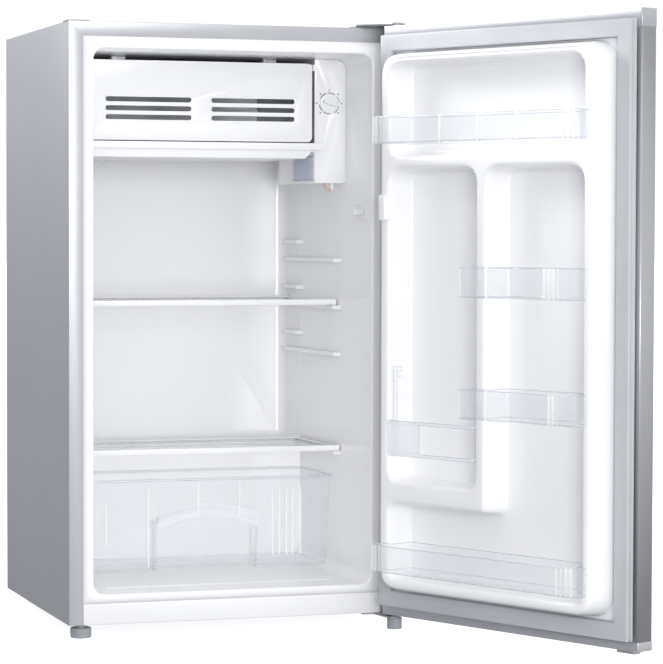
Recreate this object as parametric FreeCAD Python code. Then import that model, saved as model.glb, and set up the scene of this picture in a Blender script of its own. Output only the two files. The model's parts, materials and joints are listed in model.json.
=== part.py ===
import FreeCAD, Part
import math
import os

# Compact single-door refrigerator with an inner ice box, standing open.
# X runs to the right, Y to the back, Z up.  Everything is built about the middle of the
# cabinet's front face, with the floor at Z 0.  The door is built shut and then swung open.
# At the end all of it is moved, so that the origin is under the front left foot.

# ---- driving sizes, mm: cabinet ----
CAB_WIDTH = 472.0
CAB_HEIGHT = 845.0
CAB_DEPTH = 412.0
CAB_BOTTOM = 19.0
SHEET = 1.0
FLANGE_WIDTH = 20.0
LIP_WIDTH = 15.0
LINER_WALL = 2.0
LINER_LIP_BELOW = 12.2
LINER_LIP_ABOVE = 16.6
PLINTH_HEIGHT = 29.3
PLINTH_DEPTH = 16.0
PLINTH_WALL = 2.5

BACK_THICK = 38.0
CAVITY_DRAFT = 11.0
CAVITY_FLOOR_RISE = 6.5
CAVITY_ROOF_DROP = 6.0
CAVITY_CORNER = 16.0
STEP_DEPTH = 74.0
STEP_TOP = 240.0
BAY_WALL = 15.0
BAY_SIDE = 22.0

# ---- driving sizes, mm: door ----
DOOR_OPEN = 114.4
HINGE_INSET = 9.7
HINGE_AHEAD = 30.0
DOOR_BOTTOM = 21.3
DOOR_OVER_TOP = 1.0
DOOR_OUT = 13.4
DOOR_IN = 15.3
DOOR_RETURN = 16.0
TOP_CAP = 24.0
BOTTOM_CAP = 12.0
CAP_WALL = 3.0
GASKET_THICK = 14.4
GASKET_WIDTH = 24.0
GASKET_SIDE = 7.0
GASKET_END = 13.3

DYKE_LEFT = 30.0
DYKE_EDGE = 37.3
DYKE_FOOT = 64.0
DYKE_BELOW_TOP = 40.0
DYKE_TOP = 62.0
DYKE_DRAFT = 5.0
DYKE_CORNER = 34.0
POCKET_FLOOR = 22.0
POCKET_DRAFT = 5.0
POCKET_CORNER = 26.0
FOOT_CORNER = 12.0
POCKET_INSET = 20.0
POCKET_RIM = 17.0
POCKET_BELOW_TOP = 54.0
POCKET_FOOT = 80.0
TOP_BAY_HIGH = 132.0
DIVIDER = 12.0
BOTTLE_BAY = 167.0
BAY_RIB = 16.0
LEDGE_TOP = 214.0
FOOT_BAY_TOP = 188.0
FOOT_BAY_PAST = 60.0
STRIKER_WIDE = 14.0
STRIKER_HIGH = 37.0
STRIKER_PROUD = 10.0

# ---- driving sizes, mm: door bins and bottle holder ----
BIN_WALL = 2.0
BIN_FRONT = 28.0
BIN_TROUGH_SHORT = 10.0
BIN_CORNER = 9.0
BIN_REACH = 9.0
SMALL_BIN_REACH = 26.0
TOP_BIN_UP = 19.0
TOP_BIN_HIGH = 38.0
UPPER_BIN_DOWN = 176.0
UPPER_BIN_HIGH = 41.0
LOWER_BIN_Z = 311.0
LOWER_BIN_HIGH = 40.0
BOTTOM_BIN_UP = 12.0
BOTTOM_BIN_HIGH = 38.0
HOLDER_EASE = 3.5
HOLDER_TAB_Z = 366.0
HOLDER_TAB = 8.0
HOLDER_TOP = 374.0
HOLDER_ARM_N = 50.0
HOLDER_ARM_WIDE = 8.0
HOLDER_ARM_THICK = 3.0
HOLDER_FRONT_N = 68.0
HOLDER_LOW = 252.0
HOLDER_HIGH = 301.0
HOLDER_BAR = 5.0
HOLDER_PLATE = 62.0
PEG_HIGH = 6.0
PEG_DEEP = 7.0

# ---- driving sizes, mm: shelf and crisper ----
SHELF_FIRST = 143.5
SHELF_PITCH = 68.5
SHELF_COUNT = 3
SHELF_IN_USE = 1
RIB_PROUD = 9.0
RIB_HIGH = 6.5
RIB_FRONT = 123.0
STOP_GAP = 26.0
STOP_DEPTH = 89.0
SHELF_FRONT = 137.0
SHELF_GLASS = 4.0
SHELF_TRIM = 8.0
FRONT_TRIM_DEEP = 16.0
REAR_TRIM_DEEP = 14.0
COVER_FRONT = 122.0
COVER_HIGH = 8.0
COVER_GAP_BACK = 3.0
COVER_RIM = 12.0
COVER_GLASS_UP = 2.5
CRISPER_TOP = 204.0
CRISPER_FLOOR = 71.0
CRISPER_FRONT = 140.0
CRISPER_GAP_BACK = 12.0
CRISPER_EASE = 4.0
CRISPER_LEAN = 5.0
CRISPER_WALL = 2.5
CRISPER_RIM = 3.0
CRISPER_CORNER = 16.0
RUNNER_INSET = 51.0
RUNNER_WIDE = 8.0
GRIP_HALF = 74.0
GRIP_DEEP = 32.0
GRIP_SPRING = 140.0
GRIP_CROWN = 158.0

# ---- driving sizes, mm: ice box, flap and drip tray ----
EVAP_GAP_LEFT = 17.0
EVAP_GAP_RIGHT = 61.0
EVAP_FRONT = 108.0
EVAP_GAP_BACK = 24.0
EVAP_GAP_TOP = 9.4
EVAP_HIGH = 108.0
EVAP_SHEET = 1.5
HANGER_WIDE = 20.0
HANGER_DEEP = 14.0
FLAP_LAP_LEFT = 8.0
FLAP_LAP_RIGHT = 2.0
FLAP_LAP_LOW = 4.0
FLAP_FRONT = 92.0
FLAP_SKIN = 2.5
FLAP_RIM = 9.0
FLAP_CORNER = 7.0
FLAP_PIN = 2.0
FLAP_PIN_LONG = 4.0
FLAP_LUG = 6.0
FLAP_EAR = 12.0
FLAP_EAR_TIE = 8.0
SLOT_HIGH = 7.0
SLOT_PITCH = 12.5
SLOT_BELOW_TOP = 51.2
SLOT_ROWS = 3
SLOT_MARGIN = 26.0
SLOT_MIDDLE = 29.0
SLOT_EXTRA = 4.0
SLOT_SHIFT = 2.5
TRAY_FRONT = 88.0
TRAY_SHORT = 5.0
TRAY_LIP_LAP = 11.0
TRAY_LIP_PAST = 16.0
TRAY_LIP_HIGH = 10.0
TRAY_LIP_DROP = 5.5
TRAY_LIP_THICK = 3.0
TRAY_WALL = 2.0
TRAY_DEEP = 12.0
TRAY_SLANT = 8.0

# ---- driving sizes, mm: thermostat box and door switch ----
CONTROL_GAP_LEFT = 51.0
CONTROL_FRONT = 104.0
CONTROL_BACK = 276.0
CONTROL_GAP_TOP = 6.4
CONTROL_HIGH = 173.0
CONTROL_WALL = 2.0
DIAL_IN = 22.0
DIAL_DOWN = 58.6
DIAL_R = 14.2
DIAL_THICK = 3.0
DIAL_GRIP = 8.0
DIAL_TILT = 18.0
SHAFT_R = 5.0
SHAFT_LONG = 14.0
THERMOSTAT_IN = 8.0
THERMOSTAT_DEEP = 26.0
THERMOSTAT_HALF = 16.0
THERMOSTAT_HIGH = 20.0
LENS_BACK = 200.0
LENS_UP = 4.0
LENS_HIGH = 35.0
LENS_RIBS = 16
LENS_PROUD = 1.2
LAMP_R = 11.0
LAMP_NECK = 20.0
LAMP_NECK_R = 7.0
LAMP_SOCKET = 24.0
LENS_IN = 6.0
CAPILLARY_R = 1.1
CAPILLARY_IN = 20.0
CAPILLARY_OUT = 5.0
CAPILLARY_END = 12.0
CAPILLARY_BEND = 6.0
PEG_IN = 8.0
PEG_LONG = 10.0
PEG_R = 2.0
SWITCH_Z = 587.0
SWITCH_HIGH = 10.0
SWITCH_FRONT = 22.0
SWITCH_BACK = 56.0
SWITCH_THICK = 1.2
PADDLE_PIVOT_Y = 28.0
PADDLE_OFF = 1.6
PADDLE_LONG = 22.0
PADDLE_NOSE = 8.2
PADDLE_HIGH = 4.5

# ---- driving sizes, mm: compressor bay and skin condenser ----
COIL_ROOM = 7.0
COIL_R = 2.5
COIL_FRONT = 60.0
COIL_GAP_BACK = 72.0
COIL_LOW = 280.0
COIL_GAP_TOP = 65.0
COIL_RUNS = 6
COMP_X = 70.0
COMP_HALF_X = 68.0
COMP_HALF_Y = 42.0
COMP_BODY = 120.0
COMP_FORM = ((0.0, 0.78), (0.12, 0.97), (0.3, 1.0), (0.72, 1.0), (0.9, 0.9), (1.0, 0.62))
COMP_SEAM_SHARES = (0.52, 0.55)
COMP_FOOT = 3.0
COMP_FOOT_HALF_Y = 36.0
COMP_SEAM = 1.5
BAY_FLOOR = 3.0
BAY_RAIL = 18.0
GROMMET_HIGH = 10.0
GROMMET_R = 9.0
GROMMET_SPREAD = 52.0
GROMMET_DEEP = 26.0
RELAY_WIDE = 32.5
RELAY_HIGH = 52.0
RELAY_HALF = 24.0
RELAY_UP = 35.0
PAN_HALF_X = 58.0
PAN_HALF_Y = 38.0
PAN_HIGH = 22.0
PAN_WALL = 2.0
PAN_CORNER = 10.0
PIPE_R = 3.0
PIPE_BEND = 12.0
PIPE_RUNS = ((3.0, 28.0, 8.0, 50.0), (4.0, 48.0, -12.0, 30.0))
DRIER_X = -150.0
DRIER_R = 9.0
DRIER_LOW = 90.0
DRIER_HIGH = 170.0
DRIER_CONE = 12.0
DRIER_TAIL = 2.5
DRIER_END = 40.0
INLET_X = -120.0
INLET_R = 5.0
INLET_BORE = 3.2
GROMMET_FLANGE = 2.0
SCREW_R = 4.0
SCREW_PROUD = 2.2
SCREW_INSET = 12.0
SCREW_ROWS = 4

# ---- driving sizes, mm: feet and hinges ----
FOOT_INSET = 21.0
FOOT_Y = 20.0
FOOT_R = 14.5
FOOT_HIGH = 14.0
FOOT_STUD_UP = 16.0
FOOT_FLUTES = 28
FLUTE_R = 1.1
FLUTE_OUT = 0.5
FOOT_EASE = 1.8
FOOT_SOLE = 3.0
HINGE_FOOT_R = 10.5
HINGE_FOOT_EASE = 1.2
REAR_FOOT_R = 13.0
REAR_FOOT_IN = 24.0
REAR_FOOT_BACK = 30.0
PIN_R = 4.0
PIN_SEAT = 6.0
BUSH_R = 7.0
BUSH_DEEP = 22.0
PLATE = 3.0
LOW_PLATE = 2.6
LOW_PLATE_WIDE = 45.0
LOW_PLATE_BACK = 46.0
LOW_NOSE = 13.5
LOW_NOSE_CUT = 4.0
TOP_LIFT = 2.0
TOP_PLATE_WIDE = 58.0
TOP_PLATE_FRONT = 4.0
TOP_PLATE_BACK = 44.0
TOP_NOSE_R = 12.0
PIN_HEAD = 1.5
PIN_HEAD_LAP = 2.0
PIN_IN_DOOR = 18.0
HINGE_SCREW_R = 2.5
HINGE_HEAD_R = 4.5
HINGE_SCREW_Y = 30.0
HINGE_SCREW_INSETS = (48.0, 16.0)
HOLE_COVER_LONG = 30.0
HOLE_COVER_DEEP = 32.0
HOLE_COVER_THICK = 1.6
HOLE_COVER_LAP = 0.8
PLUG_LONG = 32.0
PLUG_OUT = 6.0
PLUG_HIGH = 5.5

RUN_FIT = 0.06
GAP = 0.3
EASY = 1.0
PAST = 1000.0

# ---- values that follow ----
half = CAB_WIDTH / 2
flange_in = half - FLANGE_WIDTH
mouth_half = flange_in - LIP_WIDTH
plinth_top = CAB_BOTTOM + PLINTH_HEIGHT
mouth_low = plinth_top + LINER_LIP_BELOW
mouth_high = CAB_HEIGHT - FLANGE_WIDTH - LINER_LIP_ABOVE
cavity_back = CAB_DEPTH - BACK_THICK
liner_back_edge = cavity_back - CAVITY_CORNER
step_front = cavity_back - STEP_DEPTH

bay_top = STEP_TOP - BAY_WALL - LINER_WALL
bay_front = step_front + LINER_WALL + BAY_WALL
bay_half = half - BAY_SIDE
bay_floor_top = CAB_BOTTOM + BAY_FLOOR
comp_y = (bay_front + CAB_DEPTH) / 2 - 1.0
comp_foot_z = bay_floor_top + GROMMET_HIGH
comp_base = comp_foot_z + COMP_FOOT
comp_top = comp_base + COMP_BODY

shelf_levels = [STEP_TOP + SHELF_FIRST + i * SHELF_PITCH for i in range(SHELF_COUNT)]
shelf_z = shelf_levels[SHELF_IN_USE] + GAP
stop_front = cavity_back - STOP_DEPTH
cover_z = STEP_TOP + GAP
cover_back = step_front - COVER_GAP_BACK
crisper_back = step_front - CRISPER_GAP_BACK
runner_x = mouth_half - RUNNER_INSET

evap_left = -mouth_half + EVAP_GAP_LEFT
evap_right = mouth_half - EVAP_GAP_RIGHT
evap_back = cavity_back - EVAP_GAP_BACK
evap_top = mouth_high - EVAP_GAP_TOP
evap_bottom = evap_top - EVAP_HIGH
flap_left = evap_left - FLAP_LAP_LEFT
flap_right = evap_right + FLAP_LAP_RIGHT
flap_bottom = evap_bottom - FLAP_LAP_LOW
flap_top = evap_top
flap_pivot_y = FLAP_FRONT + 7.0
flap_pivot_z = flap_top - 5.0
tray_back = evap_back - TRAY_SHORT
tray_lip_top = evap_bottom - TRAY_LIP_DROP
tray_lip_low = tray_lip_top - TRAY_LIP_HIGH

control_left = mouth_half - CONTROL_GAP_LEFT
control_top = mouth_high - CONTROL_GAP_TOP
control_bottom = control_top - CONTROL_HIGH
dial_x = control_left + DIAL_IN
dial_z = control_top - DIAL_DOWN
lens_bottom = control_bottom + LENS_UP
lens_top = lens_bottom + LENS_HIGH
lens_front = CONTROL_FRONT + LENS_IN
capillary_y = CONTROL_FRONT + CAPILLARY_IN

hinge_x = half - HINGE_INSET
hinge_y = -HINGE_AHEAD
free_u = CAB_WIDTH - HINGE_INSET
door_top = CAB_HEIGHT + DOOR_OVER_TOP
panel_low = DOOR_BOTTOM + BOTTOM_CAP
panel_high = door_top - TOP_CAP
dyke_right = free_u - DYKE_EDGE
dyke_head = door_top - DYKE_BELOW_TOP
pocket_left = DYKE_LEFT + POCKET_INSET
pocket_right = dyke_right - POCKET_RIM
pocket_head = door_top - POCKET_BELOW_TOP
divider_high = pocket_head - TOP_BAY_HIGH
divider_low = divider_high - DIVIDER
rib_left = pocket_left + BOTTLE_BAY
rib_right = rib_left + BAY_RIB
holder_left = pocket_left + HOLDER_EASE
holder_right = rib_left - HOLDER_EASE
low_plate_z = CAB_BOTTOM - LOW_PLATE
foot_x = half - FOOT_INSET
top_plate_z = CAB_HEIGHT + TOP_LIFT
hinge_screw_x = [half - inset for inset in HINGE_SCREW_INSETS]
inlet_z = CAB_BOTTOM + BAY_RAIL / 2 + LINER_WALL

parts = {}


# ---- helpers ----
def box(x0, x1, y0, y1, z0, z1):
    return Part.makeBox(x1 - x0, y1 - y0, z1 - z0, FreeCAD.Vector(x0, y0, z0))


def rod(x, y, z0, z1, r):
    return Part.makeCylinder(r, z1 - z0, FreeCAD.Vector(x, y, z0))


def rod_x(x0, x1, y, z, r):
    return Part.makeCylinder(r, x1 - x0, FreeCAD.Vector(x0, y, z), FreeCAD.Vector(1, 0, 0))


def rod_y(x, y0, y1, z, r):
    return Part.makeCylinder(r, y1 - y0, FreeCAD.Vector(x, y0, z), FreeCAD.Vector(0, 1, 0))


def mirror_x(shape):
    return shape.mirror(FreeCAD.Vector(0, 0, 0), FreeCAD.Vector(1, 0, 0))


def rounded_frame(x0, x1, y, z0, z1, r):
    """Closed wire of a rounded rectangle standing in a plane of constant Y."""
    corners = ((x1 - r, z1 - r, 0), (x0 + r, z1 - r, 90), (x0 + r, z0 + r, 180), (x1 - r, z0 + r, 270))
    arcs = []
    for cx, cz, start in corners:
        points = []
        for turn in (0, 45, 90):
            a = math.radians(start + turn)
            points.append(FreeCAD.Vector(cx + r * math.cos(a), y, cz + r * math.sin(a)))
        arcs.append(Part.Arc(*points).toShape())
    edges = []
    for i in range(4):
        edges.append(arcs[i])
        here = arcs[i].Vertexes[-1].Point
        there = arcs[(i + 1) % 4].Vertexes[0].Point
        edges.append(Part.LineSegment(here, there).toShape())
    return Part.Wire(edges)


def funnel(front, back):
    """Solid between two rounded rectangles given as (x0, x1, y, z0, z1, r)."""
    return Part.makeLoft([rounded_frame(*front), rounded_frame(*back)], True, True)


def plate_xy(points, z0, z1):
    loop = [FreeCAD.Vector(x, y, z0) for x, y in points]
    face = Part.Face(Part.makePolygon(loop + [loop[0]]))
    return face.extrude(FreeCAD.Vector(0, 0, z1 - z0))


def plate_yz(points, x0, x1):
    loop = [FreeCAD.Vector(x0, y, z) for y, z in points]
    face = Part.Face(Part.makePolygon(loop + [loop[0]]))
    return face.extrude(FreeCAD.Vector(x1 - x0, 0, 0))


def plate_xz(points, y0, y1):
    loop = [FreeCAD.Vector(x, y0, z) for x, z in points]
    face = Part.Face(Part.makePolygon(loop + [loop[0]]))
    return face.extrude(FreeCAD.Vector(0, y1 - y0, 0))


def fuse(shapes):
    first = shapes[0]
    if len(shapes) == 1:
        return first
    return first.fuse(shapes[1:]).removeSplitter()


def group(shapes):
    return Part.makeCompound(shapes)


def upright_edges(shape):
    return [e for e in shape.Edges if abs(e.tangentAt(e.FirstParameter).z) > 0.999]


def soften(shape, r):
    return shape.makeFillet(r, upright_edges(shape))


def wall_x(y):
    """Half the cavity's width at depth y."""
    return mouth_half - CAVITY_DRAFT * y / cavity_back


def floor_z(y):
    return mouth_low + CAVITY_FLOOR_RISE * y / cavity_back


# ---- cabinet ----
def cavity(grow):
    front_y = -5.0
    front_half = wall_x(front_y) + grow
    back_half = wall_x(cavity_back) + grow
    low_front = floor_z(front_y) - grow
    low_back = floor_z(cavity_back) - grow
    high_back = mouth_high - CAVITY_ROOF_DROP + grow
    hollow = funnel(
        (-front_half, front_half, front_y, low_front, mouth_high + grow, CAVITY_CORNER + grow),
        (-back_half, back_half, cavity_back + grow, low_back, high_back, CAVITY_CORNER + grow),
    )
    step = box(-half, half, step_front + grow, CAB_DEPTH + 10, 0, STEP_TOP - grow)
    return hollow.cut(step)


def wall_rib(y0, y1, top, high, proud):
    outline = (
        (wall_x(y0) + LINER_WALL / 2, y0),
        (wall_x(y0 + proud) - proud, y0 + proud),
        (wall_x(y1) - proud, y1),
        (wall_x(y1) + LINER_WALL / 2, y1),
    )
    return plate_xy(outline, top - high, top)


def make_outer_shell():
    outside = box(-half, half, 0, CAB_DEPTH, CAB_BOTTOM, CAB_HEIGHT)
    inside = box(-half + SHEET, half - SHEET, SHEET, CAB_DEPTH + 1, 0, CAB_HEIGHT - SHEET)
    mouth = box(-flange_in, flange_in, -EASY, SHEET + EASY, 0, CAB_HEIGHT - FLANGE_WIDTH)
    return outside.cut(inside).cut(mouth)


def make_inner_liner():
    lip = box(-flange_in, flange_in, 0, LINER_WALL, plinth_top, CAB_HEIGHT - FLANGE_WIDTH)
    tub = cavity(LINER_WALL).common(box(-half, half, 0, CAB_DEPTH, 0, CAB_HEIGHT))
    ribs = []
    for level in shelf_levels:
        ribs.append(wall_rib(RIB_FRONT, liner_back_edge, level, RIB_HIGH, RIB_PROUD))
        ribs.append(wall_rib(stop_front, liner_back_edge, level + STOP_GAP, RIB_HIGH, RIB_PROUD))
    ribs.append(wall_rib(COVER_FRONT, cover_back, STEP_TOP, RIB_HIGH, RIB_PROUD))
    tray_rib = wall_rib(EVAP_FRONT, liner_back_edge, tray_lip_low - GAP, RIB_HIGH, RIB_PROUD)
    inner = cavity(0)
    shell = fuse([lip, tub]).cut(inner)
    added = []
    for rib in ribs:
        added.append(rib)
        added.append(mirror_x(rib))
    added.append(mirror_x(tray_rib))
    wide = RUNNER_WIDE / 2
    for side in (-1, 1):
        x = side * runner_x
        added.append(box(x - wide, x + wide, CRISPER_FRONT - 10, step_front + 1, 0, CRISPER_FLOOR - GAP))
    rooted = [piece.common(cavity(LINER_WALL / 2)) for piece in added]
    return fuse([shell] + rooted)


def make_foam():
    block = box(
        -half + SHEET, half - SHEET, SHEET, CAB_DEPTH - SHEET, CAB_BOTTOM + SHEET, CAB_HEIGHT - SHEET
    )
    block = block.cut(cavity(LINER_WALL))
    block = block.cut(box(-flange_in, flange_in, -1, LINER_WALL, 0, CAB_HEIGHT - FLANGE_WIDTH))
    bay = box(-bay_half - SHEET, bay_half + SHEET, bay_front - SHEET, CAB_DEPTH, 0, bay_top + SHEET)
    plinth_room = box(-flange_in, flange_in, -1, PLINTH_DEPTH, 0, plinth_top)
    coil_back = CAB_DEPTH - COIL_GAP_BACK
    coil_high = CAB_HEIGHT - COIL_GAP_TOP
    coil_room = box(
        half - SHEET - COIL_ROOM, half, COIL_FRONT - COIL_ROOM, coil_back + COIL_ROOM,
        COIL_LOW - COIL_ROOM, coil_high + COIL_ROOM,
    )
    foot_room = rod(-foot_x, FOOT_Y, 0, CAB_BOTTOM + FOOT_STUD_UP + 2, PIN_R + 2)
    return block.cut(bay).cut(plinth_room).cut(coil_room).cut(foot_room)




def make_plinth():
    body = box(-flange_in, flange_in, 0, PLINTH_DEPTH, CAB_BOTTOM, plinth_top)
    hollow = box(
        -flange_in + PLINTH_WALL, flange_in - PLINTH_WALL,
        PLINTH_WALL, PLINTH_DEPTH + 1, CAB_BOTTOM + PLINTH_WALL, plinth_top - PLINTH_WALL,
    )
    return body.cut(hollow)


def make_base_plate():
    plate = box(-half + SHEET, half - SHEET, PLINTH_DEPTH, bay_front - SHEET, CAB_BOTTOM, CAB_BOTTOM + SHEET)
    return plate.cut(rod(-foot_x, FOOT_Y, 0, PAST, PIN_R + RUN_FIT))


def make_coil():
    """Serpentine heat-shedding tube that lies against the right-hand side sheet."""
    x = half - SHEET - COIL_R - GAP
    coil_back = CAB_DEPTH - COIL_GAP_BACK
    pitch = (CAB_HEIGHT - COIL_GAP_TOP - COIL_LOW) / (COIL_RUNS - 1)
    bend = pitch / 2
    edges = []
    for i in range(COIL_RUNS):
        z = COIL_LOW + i * pitch
        near = FreeCAD.Vector(x, COIL_FRONT + bend, z)
        far = FreeCAD.Vector(x, coil_back - bend, z)
        forward = i % 2 == 0
        start, end = (near, far) if forward else (far, near)
        edges.append(Part.LineSegment(start, end).toShape())
        if i < COIL_RUNS - 1:
            reach = bend if forward else -bend
            middle = FreeCAD.Vector(x, end.y + reach, z + bend)
            after = FreeCAD.Vector(x, end.y, z + pitch)
            edges.append(Part.Arc(end, middle, after).toShape())
    path = Part.Wire(edges)
    start = FreeCAD.Vector(x, COIL_FRONT + bend, COIL_LOW)
    ring = Part.Wire([Part.makeCircle(COIL_R, start, FreeCAD.Vector(0, 1, 0))])
    return path.makePipeShell([ring], True, False)


# ---- compressor bay ----



def make_bay_panel():
    outside = box(
        -bay_half - SHEET, bay_half + SHEET, bay_front - SHEET, CAB_DEPTH - SHEET, CAB_BOTTOM, bay_top + SHEET
    )
    inside = box(-bay_half, bay_half, bay_front, CAB_DEPTH + 1, 0, bay_top)
    return outside.cut(inside)


def make_bay_floor():
    plate = box(-bay_half, bay_half, bay_front, CAB_DEPTH, CAB_BOTTOM, bay_floor_top)
    rail_top = CAB_BOTTOM + BAY_RAIL
    rail = box(-bay_half, bay_half, CAB_DEPTH - BAY_FLOOR, CAB_DEPTH, bay_floor_top, rail_top)
    hole = rod_y(INLET_X, CAB_DEPTH - PAST, CAB_DEPTH + PAST, inlet_z, INLET_R)
    return fuse([plate, rail]).cut(hole)


def make_cord_inlet():
    """Rubber grommet in the rear rail, where a supply lead would enter."""
    rail_front = CAB_DEPTH - BAY_FLOOR
    flange = INLET_R + GROMMET_FLANGE
    neck = rod_y(INLET_X, rail_front, CAB_DEPTH, inlet_z, INLET_R)
    rear = rod_y(INLET_X, CAB_DEPTH, CAB_DEPTH + GROMMET_FLANGE, inlet_z, flange)
    front = rod_y(INLET_X, rail_front - GROMMET_FLANGE, rail_front, inlet_z, flange)
    hole = rod_y(INLET_X, CAB_DEPTH - PAST, CAB_DEPTH + PAST, inlet_z, INLET_BORE)
    return fuse([neck, rear, front]).cut(hole)


def oval(cx, cy, z, ax, ay):
    ellipse = Part.Ellipse(FreeCAD.Vector(cx, cy, z), ax, ay)
    return Part.Wire([ellipse.toShape()])


def compressor_feet():
    """Centres of the four rubber mounts."""
    centres = []
    for side in (-1, 1):
        for row in (-1, 1):
            centres.append((COMP_X + side * GROMMET_SPREAD, comp_y + row * GROMMET_DEEP))
    return centres


def make_compressor():
    wires = []
    for share, shrink in COMP_FORM:
        z = comp_base + share * COMP_BODY
        wires.append(oval(COMP_X, comp_y, z, COMP_HALF_X * shrink, COMP_HALF_Y * shrink))
    shell = Part.makeLoft(wires, True, True)
    foot = box(
        COMP_X - COMP_HALF_X, COMP_X + COMP_HALF_X,
        comp_y - COMP_FOOT_HALF_Y, comp_y + COMP_FOOT_HALF_Y, comp_foot_z, comp_base,
    )
    for x, y in compressor_feet():
        foot = foot.cut(rod(x, y, 0, PAST, SCREW_R))
    rims = []
    for share in COMP_SEAM_SHARES:
        z = comp_base + share * COMP_BODY
        rims.append(oval(COMP_X, comp_y, z, COMP_HALF_X + COMP_SEAM, COMP_HALF_Y + COMP_SEAM))
    seam = Part.makeLoft(rims, True, True)
    return fuse([shell, seam, foot])


def make_grommets():
    return group([rod(x, y, bay_floor_top, comp_foot_z, GROMMET_R) for x, y in compressor_feet()])


def make_relay_box():
    x1 = COMP_X - COMP_HALF_X - COMP_SEAM
    z0 = comp_foot_z + RELAY_UP
    body = box(x1 - RELAY_WIDE, x1, comp_y - RELAY_HALF, comp_y + RELAY_HALF, z0, z0 + RELAY_HIGH)
    return body.makeFillet(4.0, [e for e in body.Edges if abs(e.tangentAt(e.FirstParameter).x) > 0.99])


def pan_block(shrink, z0, z1):
    x = PAN_HALF_X - shrink
    y = PAN_HALF_Y - shrink
    return soften(box(COMP_X - x, COMP_X + x, comp_y - y, comp_y + y, z0, z1), PAN_CORNER - shrink)


def make_drain_pan():
    z0 = comp_top + GAP
    return pan_block(0, z0, z0 + PAN_HIGH).cut(pan_block(PAN_WALL, z0 + PAN_WALL, PAST))


def bent_pipe(points, r, bend):
    """Round tube along straight runs with a bend of radius `bend` at each inner point."""
    vectors = [FreeCAD.Vector(*p) for p in points]
    edges = []
    here = vectors[0]
    for i in range(1, len(vectors) - 1):
        corner = vectors[i]
        back = (vectors[i - 1] - corner).normalize()
        ahead = (vectors[i + 1] - corner).normalize()
        turn = math.pi - back.getAngle(ahead)
        cut = bend * math.tan(turn / 2)
        arc_start = corner + back * cut
        arc_end = corner + ahead * cut
        to_middle = (back + ahead).normalize()
        middle = corner + to_middle * (bend / math.cos(turn / 2) - bend)
        edges.append(Part.LineSegment(here, arc_start).toShape())
        edges.append(Part.Arc(arc_start, middle, arc_end).toShape())
        here = arc_end
    edges.append(Part.LineSegment(here, vectors[-1]).toShape())
    direction = vectors[1] - vectors[0]
    ring = Part.Wire([Part.makeCircle(r, vectors[0], direction)])
    return Part.Wire(edges).makePipeShell([ring], True, False)




def make_pipes():
    """Suction pipe and discharge pipe, from the compressor's side up into the bay's roof."""
    side = COMP_X + COMP_HALF_X
    pipes = []
    for start, reach, y, up in PIPE_RUNS:
        z = comp_foot_z + up
        x = side + reach
        route = ((side - start, comp_y + y, z), (x, comp_y + y, z), (x, comp_y + y, bay_top - EASY))
        pipes.append(bent_pipe(route, PIPE_R, PIPE_BEND).cut(parts["compressor"]))
    return group(pipes)


def make_drier():
    body = rod(DRIER_X, comp_y, DRIER_LOW, DRIER_HIGH, DRIER_R)
    low = FreeCAD.Vector(DRIER_X, comp_y, DRIER_LOW - DRIER_CONE)
    high = FreeCAD.Vector(DRIER_X, comp_y, DRIER_HIGH)
    neck_low = Part.makeCone(DRIER_TAIL, DRIER_R, DRIER_CONE, low)
    neck_high = Part.makeCone(DRIER_R, DRIER_TAIL, DRIER_CONE, high)
    tail_low = rod(DRIER_X, comp_y, DRIER_END, low.z, DRIER_TAIL)
    tail_high = rod(DRIER_X, comp_y, DRIER_HIGH + DRIER_CONE, bay_top, DRIER_TAIL)
    return fuse([tail_low, neck_low, body, neck_high, tail_high])


def make_back_panel():
    edge = half - SHEET
    plate = box(-edge, edge, CAB_DEPTH - SHEET, CAB_DEPTH, bay_top + SHEET, CAB_HEIGHT - SHEET)
    ears = []
    for side in (-1, 1):
        x0, x1 = sorted((side * (half - SHEET), side * (bay_half + SHEET)))
        ears.append(box(x0, x1, CAB_DEPTH - SHEET, CAB_DEPTH, CAB_BOTTOM, bay_top + SHEET))
    return fuse([plate] + ears)


def make_back_screws():
    pieces = []
    low = bay_top + SCREW_INSET
    pitch = (CAB_HEIGHT - SCREW_INSET - low) / (SCREW_ROWS - 1)
    for row in range(SCREW_ROWS):
        for side in (-1, 1):
            x = side * (half - SCREW_INSET)
            pieces.append(rod_y(x, CAB_DEPTH, CAB_DEPTH + SCREW_PROUD, low + row * pitch, SCREW_R))
    return group(pieces)


# ---- feet ----
def make_left_foot():
    knob = rod(-foot_x, FOOT_Y, 0, FOOT_HIGH, FOOT_R)
    rims = [e for e in knob.Edges if abs(e.Length - 2 * math.pi * FOOT_R) < 0.01]
    knob = knob.makeFillet(FOOT_EASE, rims)
    flutes = []
    for i in range(FOOT_FLUTES):
        a = 2 * math.pi * i / FOOT_FLUTES
        x = -foot_x + (FOOT_R + FLUTE_OUT) * math.cos(a)
        y = FOOT_Y + (FOOT_R + FLUTE_OUT) * math.sin(a)
        flutes.append(rod(x, y, FOOT_SOLE, FOOT_HIGH + EASY, FLUTE_R))
    knob = knob.cut(flutes)
    collar = rod(-foot_x, FOOT_Y, FOOT_HIGH, CAB_BOTTOM - GAP, PIN_R + 4)
    stud = rod(-foot_x, FOOT_Y, FOOT_HIGH, CAB_BOTTOM + FOOT_STUD_UP, PIN_R)
    return fuse([knob, collar, stud])




def make_right_foot():
    knob = rod(hinge_x, hinge_y, 0, low_plate_z - GAP, HINGE_FOOT_R)
    rims = [e for e in knob.Edges if abs(e.Length - 2 * math.pi * HINGE_FOOT_R) < 0.01]
    knob = knob.makeFillet(HINGE_FOOT_EASE, rims)
    return knob.cut(rod(hinge_x, hinge_y, PIN_SEAT - EASY, PAST, PIN_R + RUN_FIT))


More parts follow.
